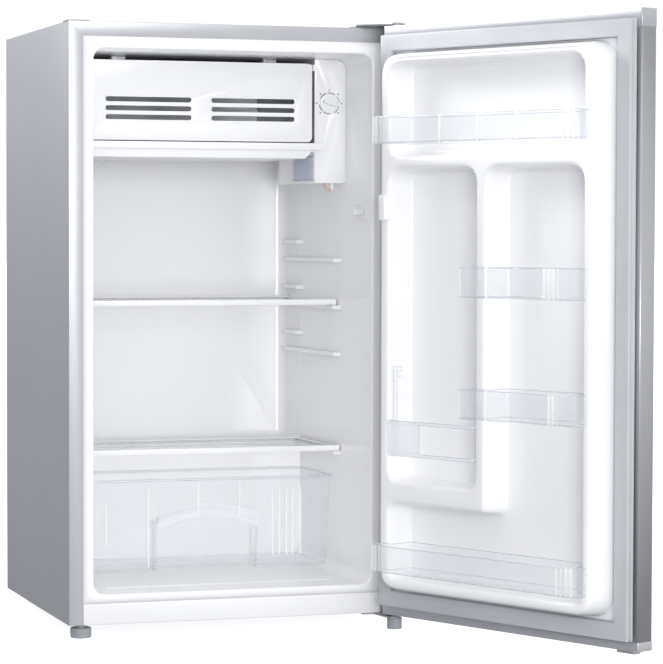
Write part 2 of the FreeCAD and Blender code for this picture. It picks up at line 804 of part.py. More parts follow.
def make_rear_feet():
    pieces = []
    for side in (-1, 1):
        x = side * (bay_half - REAR_FOOT_IN)
        pieces.append(rod(x, CAB_DEPTH - REAR_FOOT_BACK, 0, CAB_BOTTOM, REAR_FOOT_R))
    return group(pieces)


# ---- hinges ----
def make_low_bracket():
    """Plate under the cabinet that carries the lower pin, with its front corners cut."""
    ahead = hinge_y - LOW_NOSE
    left = half - LOW_PLATE_WIDE
    cut = LOW_NOSE_CUT
    outline = (
        (left, LOW_PLATE_BACK), (half - SHEET, LOW_PLATE_BACK), (half - SHEET, hinge_y),
        (half - SHEET - cut, ahead + cut), (half - SHEET - 2 * cut, ahead), (hinge_x - HINGE_INSET, ahead),
        (hinge_x - HINGE_INSET - cut, ahead + cut), (hinge_x - 2 * HINGE_INSET, 0), (left, cut),
    )
    return plate_xy(outline, low_plate_z, CAB_BOTTOM).cut(rod(hinge_x, hinge_y, 0, PAST, PIN_R))


def make_low_pin():
    return rod(hinge_x, hinge_y, PIN_SEAT, panel_low - EASY, PIN_R)




def make_top_bracket():
    """Plate screwed to the cabinet's top, cranked up over the door to hold the upper pin."""
    left = half - TOP_PLATE_WIDE
    right = half - HINGE_FOOT_EASE * 3
    rear = box(left, right, TOP_PLATE_FRONT, TOP_PLATE_BACK, CAB_HEIGHT, CAB_HEIGHT + PLATE)
    nose = rod(hinge_x, hinge_y, top_plate_z, top_plate_z + PLATE, TOP_NOSE_R)
    arm = plate_xy(
        (
            (left, TOP_PLATE_FRONT), (right, TOP_PLATE_FRONT),
            (hinge_x + 9, hinge_y - 7), (hinge_x - 11, hinge_y - 4),
        ),
        top_plate_z, top_plate_z + PLATE,
    )
    bracket = fuse([rear, nose, arm]).cut(rod(hinge_x, hinge_y, 0, PAST + CAB_HEIGHT, PIN_R))
    for x in hinge_screw_x:
        bracket = bracket.cut(rod(x, HINGE_SCREW_Y, 0, PAST + CAB_HEIGHT, HINGE_SCREW_R))
    return bracket


def make_top_pin():
    z = top_plate_z + PLATE
    head = rod(hinge_x, hinge_y, z, z + PIN_HEAD, PIN_R + PIN_HEAD_LAP)
    stem = rod(hinge_x, hinge_y, door_top - PIN_IN_DOOR, z, PIN_R)
    return fuse([head, stem])


def make_hinge_screws():
    pieces = []
    for x in hinge_screw_x:
        z = CAB_HEIGHT + PLATE
        head = rod(x, HINGE_SCREW_Y, z, z + SCREW_PROUD, HINGE_HEAD_R)
        stem = rod(x, HINGE_SCREW_Y, CAB_HEIGHT, z, HINGE_SCREW_R)
        pieces.append(fuse([head, stem]))
    return group(pieces)


def make_hole_cover():
    cap = box(
        -half - HOLE_COVER_LAP, -half + HOLE_COVER_LONG, PLATE - EASY, PLATE - EASY + HOLE_COVER_DEEP,
        CAB_HEIGHT, CAB_HEIGHT + HOLE_COVER_THICK,
    )
    return soften(cap, PLATE)


# ---- ice box ----
def make_evaporator():
    outside = box(evap_left, evap_right, EVAP_FRONT, evap_back, evap_bottom, evap_top)
    inside = box(
        evap_left + EVAP_SHEET, evap_right - EVAP_SHEET, EVAP_FRONT - 1, evap_back - EVAP_SHEET,
        evap_bottom + EVAP_SHEET, evap_top - EVAP_SHEET,
    )
    return outside.cut(inside)


def make_evap_hangers():
    """Plastic blocks that hold the ice box under the cavity's roof."""
    pieces = []
    for y in (EVAP_FRONT + HANGER_WIDE, evap_back - 2 * HANGER_WIDE):
        roof = mouth_high - CAVITY_ROOF_DROP * (y + HANGER_DEEP) / cavity_back
        for x in (evap_left + 2 * HANGER_WIDE, evap_right - 3 * HANGER_WIDE):
            pieces.append(box(x, x + HANGER_WIDE, y, y + HANGER_DEEP, evap_top, roof - GAP))
    return group(pieces)




def make_flap_brackets():
    """Ears at both sides of the ice box, each with a pin that the flap swings on."""
    y0 = flap_pivot_y - 5
    y1 = EVAP_FRONT + FLAP_EAR
    z0 = flap_pivot_z - 5
    z1 = flap_pivot_z + 4
    tie_y = y1 - FLAP_EAR_TIE
    inner = evap_right + FLAP_PIN_LONG
    right = [
        box(inner, inner + FLAP_PIN_LONG, y0, y1, z0, z1),
        rod_x(inner - FLAP_PIN_LONG - FLAP_LAP_RIGHT, inner, flap_pivot_y, flap_pivot_z, FLAP_PIN),
        box(evap_right, inner, tie_y, y1, z0, z1),
    ]
    outer = flap_left - 2 * GAP
    left = [
        box(outer - EASY, outer, y0, y1, z0, z1),
        rod_x(outer, outer + FLAP_PIN_LONG, flap_pivot_y, flap_pivot_z, FLAP_PIN),
        box(outer, evap_left, tie_y, y1, z0, z1),
    ]
    return group([fuse(right), fuse(left)])


def slot_cutter(x0, x1, top):
    r = SLOT_HIGH / 2
    z = top - r
    y0 = FLAP_FRONT - 1
    y1 = FLAP_FRONT + FLAP_SKIN + 1
    middle = box(x0 + r, x1 - r, y0, y1, z - r, z + r)
    return fuse([middle, rod_y(x0 + r, y0, y1, z, r), rod_y(x1 - r, y0, y1, z, r)])


def make_flap():
    """Shallow tray-shaped door of the ice box, with slots through its face."""
    back = FLAP_FRONT + FLAP_RIM
    body = box(flap_left, flap_right, FLAP_FRONT, back, flap_bottom, flap_top)
    corners = [e for e in body.Edges if abs(e.tangentAt(e.FirstParameter).y) > 0.99]
    body = body.makeFillet(FLAP_CORNER, corners)
    skin = FLAP_SKIN
    hollow = box(
        flap_left + skin, flap_right - skin, FLAP_FRONT + skin, back + EASY,
        flap_bottom + skin, flap_top - skin,
    )
    body = body.cut(hollow)
    bore = FLAP_PIN + RUN_FIT
    for x0, x1 in ((flap_left, flap_left + FLAP_LUG), (flap_right - FLAP_LUG, flap_right)):
        lug = box(x0, x1, FLAP_FRONT + EASY, back + 2, flap_pivot_z - 5, flap_pivot_z + 4)
        body = fuse([body, lug])
    reach = FLAP_LUG - EASY
    body = body.cut(rod_x(flap_left - EASY, flap_left + reach, flap_pivot_y, flap_pivot_z, bore))
    body = body.cut(rod_x(flap_right - reach, flap_right + EASY, flap_pivot_y, flap_pivot_z, bore))
    middle = (flap_left + flap_right) / 2 + SLOT_SHIFT
    spans = (
        (flap_left + SLOT_MARGIN + SLOT_EXTRA, middle - SLOT_MIDDLE / 2),
        (middle + SLOT_MIDDLE / 2, flap_right - SLOT_MARGIN),
    )
    for x0, x1 in spans:
        for row in range(SLOT_ROWS):
            body = body.cut(slot_cutter(x0, x1, flap_top - SLOT_BELOW_TOP - row * SLOT_PITCH))
    return body


def make_tray():
    """Drip tray that slides on a rib at its left and a runner at its right."""
    wall = TRAY_WALL
    rim_z = tray_lip_low + wall
    low = tray_lip_low - TRAY_DEEP
    left = -(wall_x(tray_back) - RIB_PROUD) + EASY
    right = control_left - RIB_PROUD - EASY
    side = -wall_x(tray_back) + EASY
    flange = box(side, control_left - EASY, TRAY_FRONT + EASY, tray_back, tray_lip_low, rim_z)
    foot = right - TRAY_SLANT
    belly = plate_xz(
        ((left, rim_z), (left, low), (foot, low), (right, low + TRAY_SLANT), (right, rim_z)),
        TRAY_FRONT + TRAY_LIP_THICK + EASY, tray_back,
    )
    scoop = plate_xz(
        (
            (left + wall, rim_z + 1), (left + wall, low + wall), (foot - wall, low + wall),
            (right - wall, low + TRAY_SLANT + 1), (right - wall, rim_z + 1),
        ),
        TRAY_FRONT + TRAY_LIP_THICK + EASY + wall, tray_back - wall,
    )
    lip = box(
        evap_left - TRAY_LIP_LAP, evap_right + TRAY_LIP_PAST, TRAY_FRONT, TRAY_FRONT + TRAY_LIP_THICK,
        tray_lip_low, tray_lip_top,
    )
    return fuse([flange, belly, lip]).cut(scoop)


# ---- control box ----
def make_control_box():
    """Housing against the right wall, open to it, with a window for the lamp's lens."""
    wall = CONTROL_WALL
    outside = box(control_left, half, CONTROL_FRONT, CONTROL_BACK, control_bottom, CAB_HEIGHT)
    inside = box(
        control_left + wall, half, CONTROL_FRONT + wall, CONTROL_BACK - wall,
        control_bottom + wall, CAB_HEIGHT,
    )
    shell = outside.cut(inside).common(cavity(-GAP))
    lens_hole = box(
        control_left - EASY, control_left + wall + EASY, lens_front, LENS_BACK, lens_bottom, lens_top
    )
    shaft_hole = rod_y(dial_x, CONTROL_FRONT - EASY, CONTROL_FRONT + 2 * wall, dial_z, SHAFT_R + RUN_FIT)
    peg = rod(dial_x + PEG_IN, CONTROL_FRONT + PEG_LONG, control_bottom - PEG_LONG, control_bottom, PEG_R)
    runner_z = tray_lip_low - GAP
    runner = box(
        control_left - RIB_PROUD, control_left, CONTROL_FRONT + 4, CONTROL_BACK, runner_z - PEG_R, runner_z
    )
    tube_hole = rod(dial_x, capillary_y, 0, control_bottom + 2 * wall, CAPILLARY_R + GAP)
    return fuse([shell.cut(lens_hole).cut(shaft_hole).cut(tube_hole), peg, runner])


def make_dial():
    face = CONTROL_FRONT - DIAL_THICK
    disc = rod_y(dial_x, face, CONTROL_FRONT - GAP, dial_z, DIAL_R)
    reach = DIAL_R - DIAL_THICK
    grip = box(dial_x - reach, dial_x + reach, face - DIAL_GRIP, face, dial_z - 2, dial_z + 2)
    grip = grip.makeFillet(1.5, [e for e in grip.Edges if abs(e.tangentAt(e.FirstParameter).y) > 0.99])
    grip.rotate(FreeCAD.Vector(dial_x, 0, dial_z), FreeCAD.Vector(0, 1, 0), DIAL_TILT)
    shaft = rod_y(dial_x, CONTROL_FRONT - GAP, CONTROL_FRONT + SHAFT_LONG, dial_z, SHAFT_R)
    return fuse([disc, grip, shaft])


def make_thermostat():
    """Switch body behind the dial, with a cup that the dial's shaft turns in."""
    y0 = CONTROL_FRONT + THERMOSTAT_IN
    body = box(
        dial_x - THERMOSTAT_HALF, dial_x + THERMOSTAT_HALF, y0, y0 + THERMOSTAT_DEEP,
        dial_z - THERMOSTAT_HIGH, dial_z + THERMOSTAT_HIGH,
    )
    return body.cut(rod_y(dial_x, y0 - EASY, CONTROL_FRONT + SHAFT_LONG + EASY, dial_z, SHAFT_R + RUN_FIT))


def make_capillary():
    """Thin sensing tube that leaves the switch body and curls out under the box."""
    route = (
        (dial_x, capillary_y, dial_z - THERMOSTAT_HIGH),
        (dial_x, capillary_y, control_bottom - CAPILLARY_OUT),
        (dial_x + 8, capillary_y - 3, control_bottom - CAPILLARY_END),
    )
    return bent_pipe(route, CAPILLARY_R, CAPILLARY_BEND)


def make_lamp_lens():
    """Ribbed clear cover let into the box's left wall."""
    x0 = control_left - LENS_PROUD
    y0 = lens_front + GAP
    y1 = LENS_BACK - GAP
    plate = box(x0, control_left + CONTROL_WALL, y0, y1, lens_bottom + GAP, lens_top - GAP)
    pitch = (y1 - y0) / LENS_RIBS
    grooves = []
    for i in range(1, LENS_RIBS):
        y = y0 + i * pitch
        grooves.append(box(x0 - EASY, x0 + LENS_PROUD, y - EASY, y + EASY, 0, CAB_HEIGHT))
    return plate.cut(grooves)


def make_lamp():
    x = dial_x
    y = (CONTROL_FRONT + LENS_BACK) / 2
    z = (lens_bottom + lens_top) / 2
    neck_end = y + LAMP_NECK
    socket = rod_y(x, neck_end, neck_end + LAMP_SOCKET, z, LAMP_R + EASY)
    bulb = Part.makeSphere(LAMP_R, FreeCAD.Vector(x, y, z))
    return socket, fuse([bulb, rod_y(x, y, neck_end, z, LAMP_NECK_R)])


def make_switch_frame():
    outline = (
        (wall_x(SWITCH_FRONT), SWITCH_FRONT), (wall_x(SWITCH_FRONT) - SWITCH_THICK, SWITCH_FRONT),
        (wall_x(SWITCH_BACK) - SWITCH_THICK, SWITCH_BACK), (wall_x(SWITCH_BACK), SWITCH_BACK),
    )
    return plate_xy(outline, SWITCH_Z - SWITCH_HIGH, SWITCH_Z + SWITCH_HIGH)


def make_paddle():
    x0 = wall_x(PADDLE_PIVOT_Y) - SWITCH_THICK - PADDLE_OFF
    y0 = PADDLE_PIVOT_Y
    nose = x0 - PADDLE_NOSE
    outline = (
        (x0 - 1.0, y0 - 1.2), (x0 + 0.6, y0 - 1.2), (x0 + 0.4, y0 + 3), (nose + 3, y0 + PADDLE_LONG),
        (nose, y0 + PADDLE_LONG), (nose - 0.5, y0 + PADDLE_LONG - 3), (x0 - 1.0, y0 + 3),
    )
    return plate_xy(outline, SWITCH_Z - PADDLE_HIGH, SWITCH_Z + PADDLE_HIGH)


# ---- shelves and crisper ----
def tapered_slab(y0, y1, z0, z1, ease):
    near = wall_x(y0) - ease
    far = wall_x(y1) - ease
    return plate_xy(((-near, y0), (near, y0), (far, y1), (-far, y1)), z0, z1)


def make_shelf_glass():
    z0 = shelf_z + (SHELF_TRIM - SHELF_GLASS) / 2
    inset = 1.5
    return tapered_slab(SHELF_FRONT + inset, liner_back_edge - inset, z0, z0 + SHELF_GLASS, 2 + inset)


def make_shelf_trims():
    """Front and rear rails that grip the shelf's glass."""
    glass = make_shelf_glass()
    rails = []
    for y0, y1 in (
        (SHELF_FRONT, SHELF_FRONT + FRONT_TRIM_DEEP),
        (liner_back_edge - REAR_TRIM_DEEP, liner_back_edge),
    ):
        rails.append(tapered_slab(y0, y1, shelf_z, shelf_z + SHELF_TRIM, 2.0).cut(glass))
    return group(rails)


def make_cover_glass():
    z0 = cover_z + COVER_GLASS_UP
    return tapered_slab(COVER_FRONT + 4, cover_back - 4, z0, z0 + SHELF_GLASS, 8.0)


def make_cover_frame():
    outer = tapered_slab(COVER_FRONT, cover_back, cover_z, cover_z + COVER_HIGH, 2.0)
    window = tapered_slab(COVER_FRONT + COVER_RIM, cover_back - COVER_RIM, 0, CAB_HEIGHT, COVER_RIM + 2)
    return outer.cut(window).cut(make_cover_glass())


def grip_arch(y0, y1, grow):
    """Arched niche in the drawer's front, open at the floor."""
    half_span = GRIP_HALF + grow
    crown = FreeCAD.Vector(0, y0, GRIP_CROWN + grow)
    left = FreeCAD.Vector(-half_span, y0, GRIP_SPRING)
    right = FreeCAD.Vector(half_span, y0, GRIP_SPRING)
    low_left = FreeCAD.Vector(-half_span, y0, CRISPER_FLOOR - EASY)
    low_right = FreeCAD.Vector(half_span, y0, CRISPER_FLOOR - EASY)
    edges = [
        Part.Arc(left, crown, right).toShape(),
        Part.LineSegment(right, low_right).toShape(),
        Part.LineSegment(low_right, low_left).toShape(),
        Part.LineSegment(low_left, left).toShape(),
    ]
    return Part.Face(Part.Wire(edges)).extrude(FreeCAD.Vector(0, y1 - y0, 0))


def crisper_section(ease, near, far, z, r):
    """Outline of the drawer at one height: it narrows towards the back as the cavity does."""
    slab = soften(tapered_slab(near, far, z, z + 1, ease), r)
    floor = [f for f in slab.Faces if abs(f.CenterOfMass.z - z) < 0.01]
    return floor[0].OuterWire


def crisper_form(shrink, top):
    """Tub that widens upwards, less its wall when shrink is given."""
    near = CRISPER_FRONT + shrink
    far = crisper_back - shrink
    r = CRISPER_CORNER - shrink
    low_ease = CRISPER_EASE + CRISPER_LEAN + shrink
    low = crisper_section(low_ease, near + 4, far - 4, CRISPER_FLOOR + shrink, r)
    high = crisper_section(CRISPER_EASE + shrink, near, far, top, r)
    return Part.makeLoft([low, high], True, True)


def make_crisper():
    """Tub with a niche for the fingers in its front and a lip round its rim."""
    front = CRISPER_FRONT - 2
    outside = crisper_form(0, CRISPER_TOP)
    inside = crisper_form(CRISPER_WALL, CRISPER_TOP + EASY)
    recess = grip_arch(front, CRISPER_FRONT + GRIP_DEEP, 0)
    lining = grip_arch(front, CRISPER_FRONT + GRIP_DEEP + CRISPER_WALL, CRISPER_WALL)
    tub = outside.cut(inside.cut(lining)).cut(recess)
    lip_low = CRISPER_TOP - CRISPER_RIM
    lip_out = tapered_slab(front - 2, crisper_back + CRISPER_RIM, lip_low, CRISPER_TOP, 2 * EASY)
    lip_in = tapered_slab(front + 4, crisper_back - 2, 0, CAB_HEIGHT, CRISPER_EASE + 2)
    lip = soften(lip_out, CRISPER_CORNER + 2).cut(soften(lip_in, CRISPER_CORNER - 2))
    return fuse([tub, lip])


# ---- door, built shut: u runs from the hinge line to the free edge, n from it into the cabinet ----
def door_box(u0, u1, n0, n1, z0, z1):
    return box(hinge_x - u1, hinge_x - u0, hinge_y + n0, hinge_y + n1, z0, z1)


def door_rod(u, n, z0, z1, r):
    return rod(hinge_x - u, hinge_y + n, z0, z1, r)


def swing(shape):
    opened = shape.copy()
    opened.rotate(FreeCAD.Vector(hinge_x, hinge_y, 0), FreeCAD.Vector(0, 0, 1), DOOR_OPEN)
    return opened


def door_funnel(base, crest):
    """Drafted block on the door between two rounded rectangles (u0, u1, n, z0, z1, r)."""
    rings = []
    for u0, u1, n, z0, z1, r in (base, crest):
        rings.append(rounded_frame(hinge_x - u1, hinge_x - u0, hinge_y + n, z0, z1, r))
    return Part.makeLoft(rings, True, True)




def door_block(inset, z0, z1):
    """The door's own outline, drawn in by `inset` on its four upright faces."""
    return door_box(-HINGE_INSET + inset, free_u - inset, -DOOR_OUT + inset, DOOR_IN - inset, z0, z1)


def make_door_panel():
    outside = door_block(0, panel_low, panel_high)
    inside = door_block(SHEET, 0, CAB_HEIGHT)
    edge = DOOR_RETURN
    mouth = door_box(-HINGE_INSET + edge, free_u - edge, 0, DOOR_IN + EASY, 0, CAB_HEIGHT)
    return outside.cut(inside).cut(mouth)


def make_cap(z0, z1, top):
    """End cap, hollow towards the middle of the door, with a boss for the hinge bush."""
    wall = CAP_WALL
    low, high = (z0 - EASY, z1 - wall) if top else (z0 + wall, z1 + EASY)
    body = soften(door_block(0, z0, z1), 1.5).cut(door_block(wall, low, high))
    boss = door_rod(0, 0, z0, z1, BUSH_R + 2).common(door_block(0, z0, z1))
    return fuse([body, boss]).cut(door_rod(0, 0, 0, PAST + z1, BUSH_R))


def make_bush(z0, z1):
    return door_rod(0, 0, z0, z1, BUSH_R).cut(door_rod(0, 0, 0, PAST + z1, PIN_R + RUN_FIT))


def gasket_limits():
    """Outer edges of the seal, and of the moulding's flat border under it."""
    side = GASKET_SIDE
    return -HINGE_INSET + side, free_u - side, DOOR_BOTTOM + GASKET_END, door_top - GASKET_END


def pockets(grow):
    """Hollows of the inner door moulding: a top one, a bottle bay, and a bay for the bins."""
    crest = DYKE_TOP + 1.0
    spans = (
        (pocket_left, pocket_right, divider_high, pocket_head, POCKET_CORNER),
        (pocket_left, rib_left, LEDGE_TOP, divider_low, POCKET_CORNER),
        (rib_right, pocket_right, POCKET_FOOT, divider_low, FOOT_CORNER),
        (pocket_left, rib_right + FOOT_BAY_PAST, POCKET_FOOT, FOOT_BAY_TOP, FOOT_CORNER),
    )
    made = []
    for u0, u1, z0, z1, r in spans:
        d = POCKET_DRAFT
        floor = POCKET_FLOOR - grow
        narrow = (u0 + d - grow, u1 - d + grow, floor, z0 + d - grow, z1 - d + grow, r)
        wide = (u0 - grow, u1 + grow, crest, z0 - grow, z1 + grow, r)
        made.append(door_funnel(narrow, wide))
    return made


def dyke(shrink):
    d = DYKE_DRAFT
    base = (
        DYKE_LEFT + shrink, dyke_right - shrink, DOOR_IN,
        DYKE_FOOT + shrink, dyke_head - shrink, DYKE_CORNER,
    )
    crest = (
        DYKE_LEFT + d + shrink, dyke_right - d - shrink, DYKE_TOP - shrink,
        DYKE_FOOT + d + shrink, dyke_head - d - shrink, DYKE_CORNER,
    )
    block = door_funnel(base, crest)
    for pocket in pockets(shrink):
        block = block.cut(pocket)
    return block


def make_door_liner():
    u0, u1, z0, z1 = gasket_limits()
    sheet = door_box(u0, u1, DOOR_IN, DOOR_IN + LINER_WALL, z0, z1)
    raised = dyke(0)
    base_core = dyke(LINER_WALL)
    block = fuse([sheet.cut(raised), raised])
    u = DYKE_LEFT + 8
    striker = door_box(
        u, u + STRIKER_WIDE, DYKE_TOP - EASY, DYKE_TOP + STRIKER_PROUD,
        SWITCH_Z - STRIKER_WIDE + 1, SWITCH_Z - STRIKER_WIDE + 1 + STRIKER_HIGH,
    )
    return fuse([block.cut(base_core), striker])


def make_door_foam():
    """Foam core: the slab between the door's skins, and what fills the inner moulding."""
    slab = door_block(SHEET, panel_low, panel_high)
    inset = DOOR_RETURN + EASY
    neck = door_box(-HINGE_INSET + inset, free_u - inset, DOOR_IN - SHEET, DOOR_IN, panel_low, panel_high)
    return fuse([slab, neck, dyke(LINER_WALL)])


def make_gasket():
    u0, u1, z0, z1 = gasket_limits()
    n0 = DOOR_IN + LINER_WALL
    n1 = DOOR_IN + GASKET_THICK
    w = GASKET_WIDTH
    return door_box(u0, u1, n0, n1, z0, z1).cut(
        door_box(u0 + w, u1 - w, 0, n1 + EASY, z0 + w, z1 - w)
    )


def make_hole_plug():
    """Tab that closes the hinge hole left free at the door's other lower corner."""
    u = free_u - 2 * HINGE_INSET + PLUG_OUT
    tab = door_box(u - PLUG_LONG, u, -PLUG_OUT - 2, PLUG_OUT, DOOR_BOTTOM - PLUG_HIGH, DOOR_BOTTOM)
    return soften(tab, 3.0)


def make_bin(u0, u1, low, high, reach_left):
    """Clear door bin: a trough inside the hollow and a front that laps over the moulding."""
    w = BIN_WALL
    back = POCKET_FLOOR + 3
    front = DYKE_TOP + BIN_FRONT
    lap = DYKE_TOP + EASY
    inset = POCKET_DRAFT + 3
    trough_front = front - BIN_TROUGH_SHORT
    left = u0 - reach_left
    right = u1 + BIN_REACH
    trough = door_box(u0 + inset, u1 - inset, back, trough_front, low, high)
    fender = soften(door_box(left, right, lap, front, low, high), BIN_CORNER)
    room = door_box(u0 + inset + w, u1 - inset - w, back + w, trough_front, low + w, high + EASY)
    front_room = door_box(left + w, right - w, lap + w, front - w, low + w, high + EASY)
    return fuse([trough, fender]).cut(room).cut(soften(front_room, BIN_CORNER - w))


def make_holder():
    """Bottle holder: two arms that hook over pegs, a front band, and a side plate."""
    n0 = HOLDER_ARM_N
    n1 = n0 + HOLDER_ARM_WIDE
    front = HOLDER_FRONT_N
    thick = HOLDER_ARM_THICK
    arms = []
    for u0 in (holder_left, holder_right - thick):
        u1 = u0 + thick
        arms.append(door_box(u0, u1, n0, n1, HOLDER_LOW, HOLDER_TOP))
        arms.append(door_box(u0, u1, n0 - HOLDER_TAB, n0, HOLDER_TAB_Z, HOLDER_TOP))
        arms.append(door_box(u0, u1, n0, front, HOLDER_HIGH - HOLDER_BAR, HOLDER_HIGH))
        arms.append(door_box(u0, u1, n0, front, HOLDER_LOW, HOLDER_LOW + HOLDER_BAR))
    top_bar = door_box(holder_left, holder_right, front - 3, front, HOLDER_HIGH - HOLDER_BAR, HOLDER_HIGH)
    low_bar = door_box(holder_left, holder_right, front - 3, front, HOLDER_LOW, HOLDER_LOW + HOLDER_BAR)
    plate = door_box(holder_left, holder_left + HOLDER_PLATE, front - 2, front, HOLDER_LOW, HOLDER_HIGH)
    return fuse(arms + [top_bar, low_bar, plate])


def make_holder_pegs():
    """Small ledges on the bay's side walls that the holder's hooks rest on."""
    n1 = HOLDER_ARM_N - EASY
    top = HOLDER_TAB_Z - GAP
    reach = HOLDER_ARM_THICK
    left = door_box(pocket_left - 2, holder_left + reach, n1 - PEG_DEEP, n1, top - PEG_HIGH, top)
    right = door_box(holder_right - reach, rib_left + 2, n1 - PEG_DEEP, n1, top - PEG_HIGH, top)
    liner = dyke(0)
    return group([left.cut(liner), right.cut(liner)])


# ---- build ----
parts["outer_shell"] = make_outer_shell()
parts["inner_liner"] = make_inner_liner()
parts["insulation_foam"] = make_foam()
parts["front_plinth"] = make_plinth()
parts["base_plate"] = make_base_plate()
parts["condenser_coil"] = make_coil()
parts["bay_panel"] = make_bay_panel()
parts["bay_floor"] = make_bay_floor()
parts["cord_inlet"] = make_cord_inlet()
parts["compressor"] = make_compressor()
parts["compressor_grommets"] = make_grommets()
parts["relay_box"] = make_relay_box()
parts["drain_pan"] = make_drain_pan()
parts["refrigerant_pipes"] = make_pipes()
parts["filter_drier"] = make_drier()
parts["back_panel"] = make_back_panel()
parts["back_screws"] = make_back_screws()
parts["front_left_foot"] = make_left_foot()
parts["front_right_foot"] = make_right_foot()
parts["rear_feet"] = make_rear_feet()
parts["lower_hinge_bracket"] = make_low_bracket()
parts["lower_hinge_pin"] = make_low_pin()
parts["upper_hinge_bracket"] = make_top_bracket()
parts["upper_hinge_pin"] = make_top_pin()
parts["hinge_screws"] = make_hinge_screws()
parts["hinge_hole_cover"] = make_hole_cover()
parts["evaporator_box"] = make_evaporator()
parts["evaporator_hangers"] = make_evap_hangers()
parts["flap_brackets"] = make_flap_brackets()
parts["freezer_flap"] = make_flap()
parts["drip_tray"] = make_tray()
parts["control_box"] = make_control_box()
parts["thermostat_dial"] = make_dial()
parts["thermostat_switch"] = make_thermostat()
parts["capillary_tube"] = make_capillary()
parts["lamp_lens"] = make_lamp_lens()
parts["lamp_socket"], parts["lamp_bulb"] = make_lamp()
parts["door_switch_frame"] = make_switch_frame()
parts["door_switch_paddle"] = make_paddle()
parts["shelf_glass"] = make_shelf_glass()
parts["shelf_trims"] = make_shelf_trims()
parts["crisper_cover_glass"] = make_cover_glass()
parts["crisper_cover_frame"] = make_cover_frame()
parts["crisper_drawer"] = make_crisper()

door_parts = {}
door_parts["door_panel"] = make_door_panel()
door_parts["door_top_cap"] = make_cap(panel_high, door_top, True)
door_parts["door_bottom_cap"] = make_cap(DOOR_BOTTOM, panel_low, False)
door_parts["door_bush_upper"] = make_bush(door_top - BUSH_DEEP, door_top)
door_parts["door_bush_lower"] = make_bush(DOOR_BOTTOM, panel_low)
door_parts["door_liner"] = make_door_liner()
door_parts["door_foam"] = make_door_foam()
door_parts["door_gasket"] = make_gasket()
door_parts["hinge_hole_plug"] = make_hole_plug()
upper_bin_z = divider_low - UPPER_BIN_DOWN
bins = {
    "top_bin": (pocket_left, pocket_right, divider_high + TOP_BIN_UP, TOP_BIN_HIGH, BIN_REACH),
    "upper_small_bin": (rib_right, pocket_right, upper_bin_z, UPPER_BIN_HIGH, SMALL_BIN_REACH),
    "lower_small_bin": (rib_right, pocket_right, LOWER_BIN_Z, LOWER_BIN_HIGH, SMALL_BIN_REACH),
    "bottom_bin": (pocket_left, pocket_right, POCKET_FOOT + BOTTOM_BIN_UP, BOTTOM_BIN_HIGH, BIN_REACH),
}
for name, (left, right, low, high, reach) in bins.items():
    door_parts[name] = make_bin(left, right, low, low + high, reach)
door_parts["bottle_holder"] = make_holder()
door_parts["bottle_holder_pegs"] = make_holder_pegs()
for name, shape in door_parts.items():
    parts[name] = swing(shape)

os.makedirs("parts", exist_ok=True)
for name, shape in parts.items():
    shape.translate(FreeCAD.Vector(foot_x, -FOOT_Y, 0))
    shape.exportStep("parts/" + name + ".step")
    print(name, len(shape.Solids), "solid(s),", round(shape.Volume / 1000.0, 2), "cm3")
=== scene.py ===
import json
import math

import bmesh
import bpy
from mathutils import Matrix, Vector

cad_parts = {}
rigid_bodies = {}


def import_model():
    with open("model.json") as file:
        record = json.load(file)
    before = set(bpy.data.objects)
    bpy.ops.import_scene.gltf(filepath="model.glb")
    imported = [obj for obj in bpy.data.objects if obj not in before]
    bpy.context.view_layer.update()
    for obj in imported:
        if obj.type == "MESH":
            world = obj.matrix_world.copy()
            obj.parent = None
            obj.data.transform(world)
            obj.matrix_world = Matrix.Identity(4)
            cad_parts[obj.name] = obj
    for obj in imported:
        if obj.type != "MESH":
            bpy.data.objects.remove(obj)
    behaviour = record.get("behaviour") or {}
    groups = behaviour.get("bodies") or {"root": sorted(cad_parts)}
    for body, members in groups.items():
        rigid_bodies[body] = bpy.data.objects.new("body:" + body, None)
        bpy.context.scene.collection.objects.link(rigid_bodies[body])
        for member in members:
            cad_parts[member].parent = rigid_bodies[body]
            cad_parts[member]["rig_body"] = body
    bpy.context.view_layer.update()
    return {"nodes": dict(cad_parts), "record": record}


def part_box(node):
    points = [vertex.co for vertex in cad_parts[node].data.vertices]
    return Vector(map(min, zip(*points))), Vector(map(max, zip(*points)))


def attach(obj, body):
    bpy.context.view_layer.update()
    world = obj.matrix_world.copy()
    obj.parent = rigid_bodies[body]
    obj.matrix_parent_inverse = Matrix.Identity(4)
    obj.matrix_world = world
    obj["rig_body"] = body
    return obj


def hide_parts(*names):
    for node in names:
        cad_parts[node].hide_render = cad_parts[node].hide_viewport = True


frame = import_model()

# %% [markdown]
# # A compact refrigerator, standing with its door open
# The structure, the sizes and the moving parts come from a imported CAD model, which the
# line above has loaded. This lesson gives each part the form and the finish of the real
# object: folded and painted steel outside, vacuum-formed white plastic inside, clear
# moulded bins, a rubber seal, and the machinery in the bay at the back.
# Lengths are written in millimetres and turned into metres by MM. Only the floor, the
# lamps and the depth of the bumps in the finishes are given in metres.

MM = 0.001
record = frame["record"]

# %% [markdown]
# Two sets of axes make the work simple. The cabinet's own axes start under the middle of
# its front face. The door's axes start at its hinge: u runs from the hinge to the free
# edge, n runs from the hinge line towards the inside of the cabinet. The door stands open
# in the rest pose, so its axes are turned. Drawing the door along u and n means that every
# door piece can be built as if the door were shut.

# %% The cabinet's axes and the door's axes
shell_low, shell_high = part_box("outer_shell")
MIDDLE_X = (shell_low.x + shell_high.x) / 2
FRONT_Y = shell_low.y
hinge = next(j for j in record["behaviour"]["joints"] if j["name"] == "door_hinge")
pivot = Vector(hinge["pos_m"])
swing = math.radians(-hinge["range_deg"][0])
turn, unturn = Matrix.Rotation(swing, 3, "Z"), Matrix.Rotation(-swing, 3, "Z")


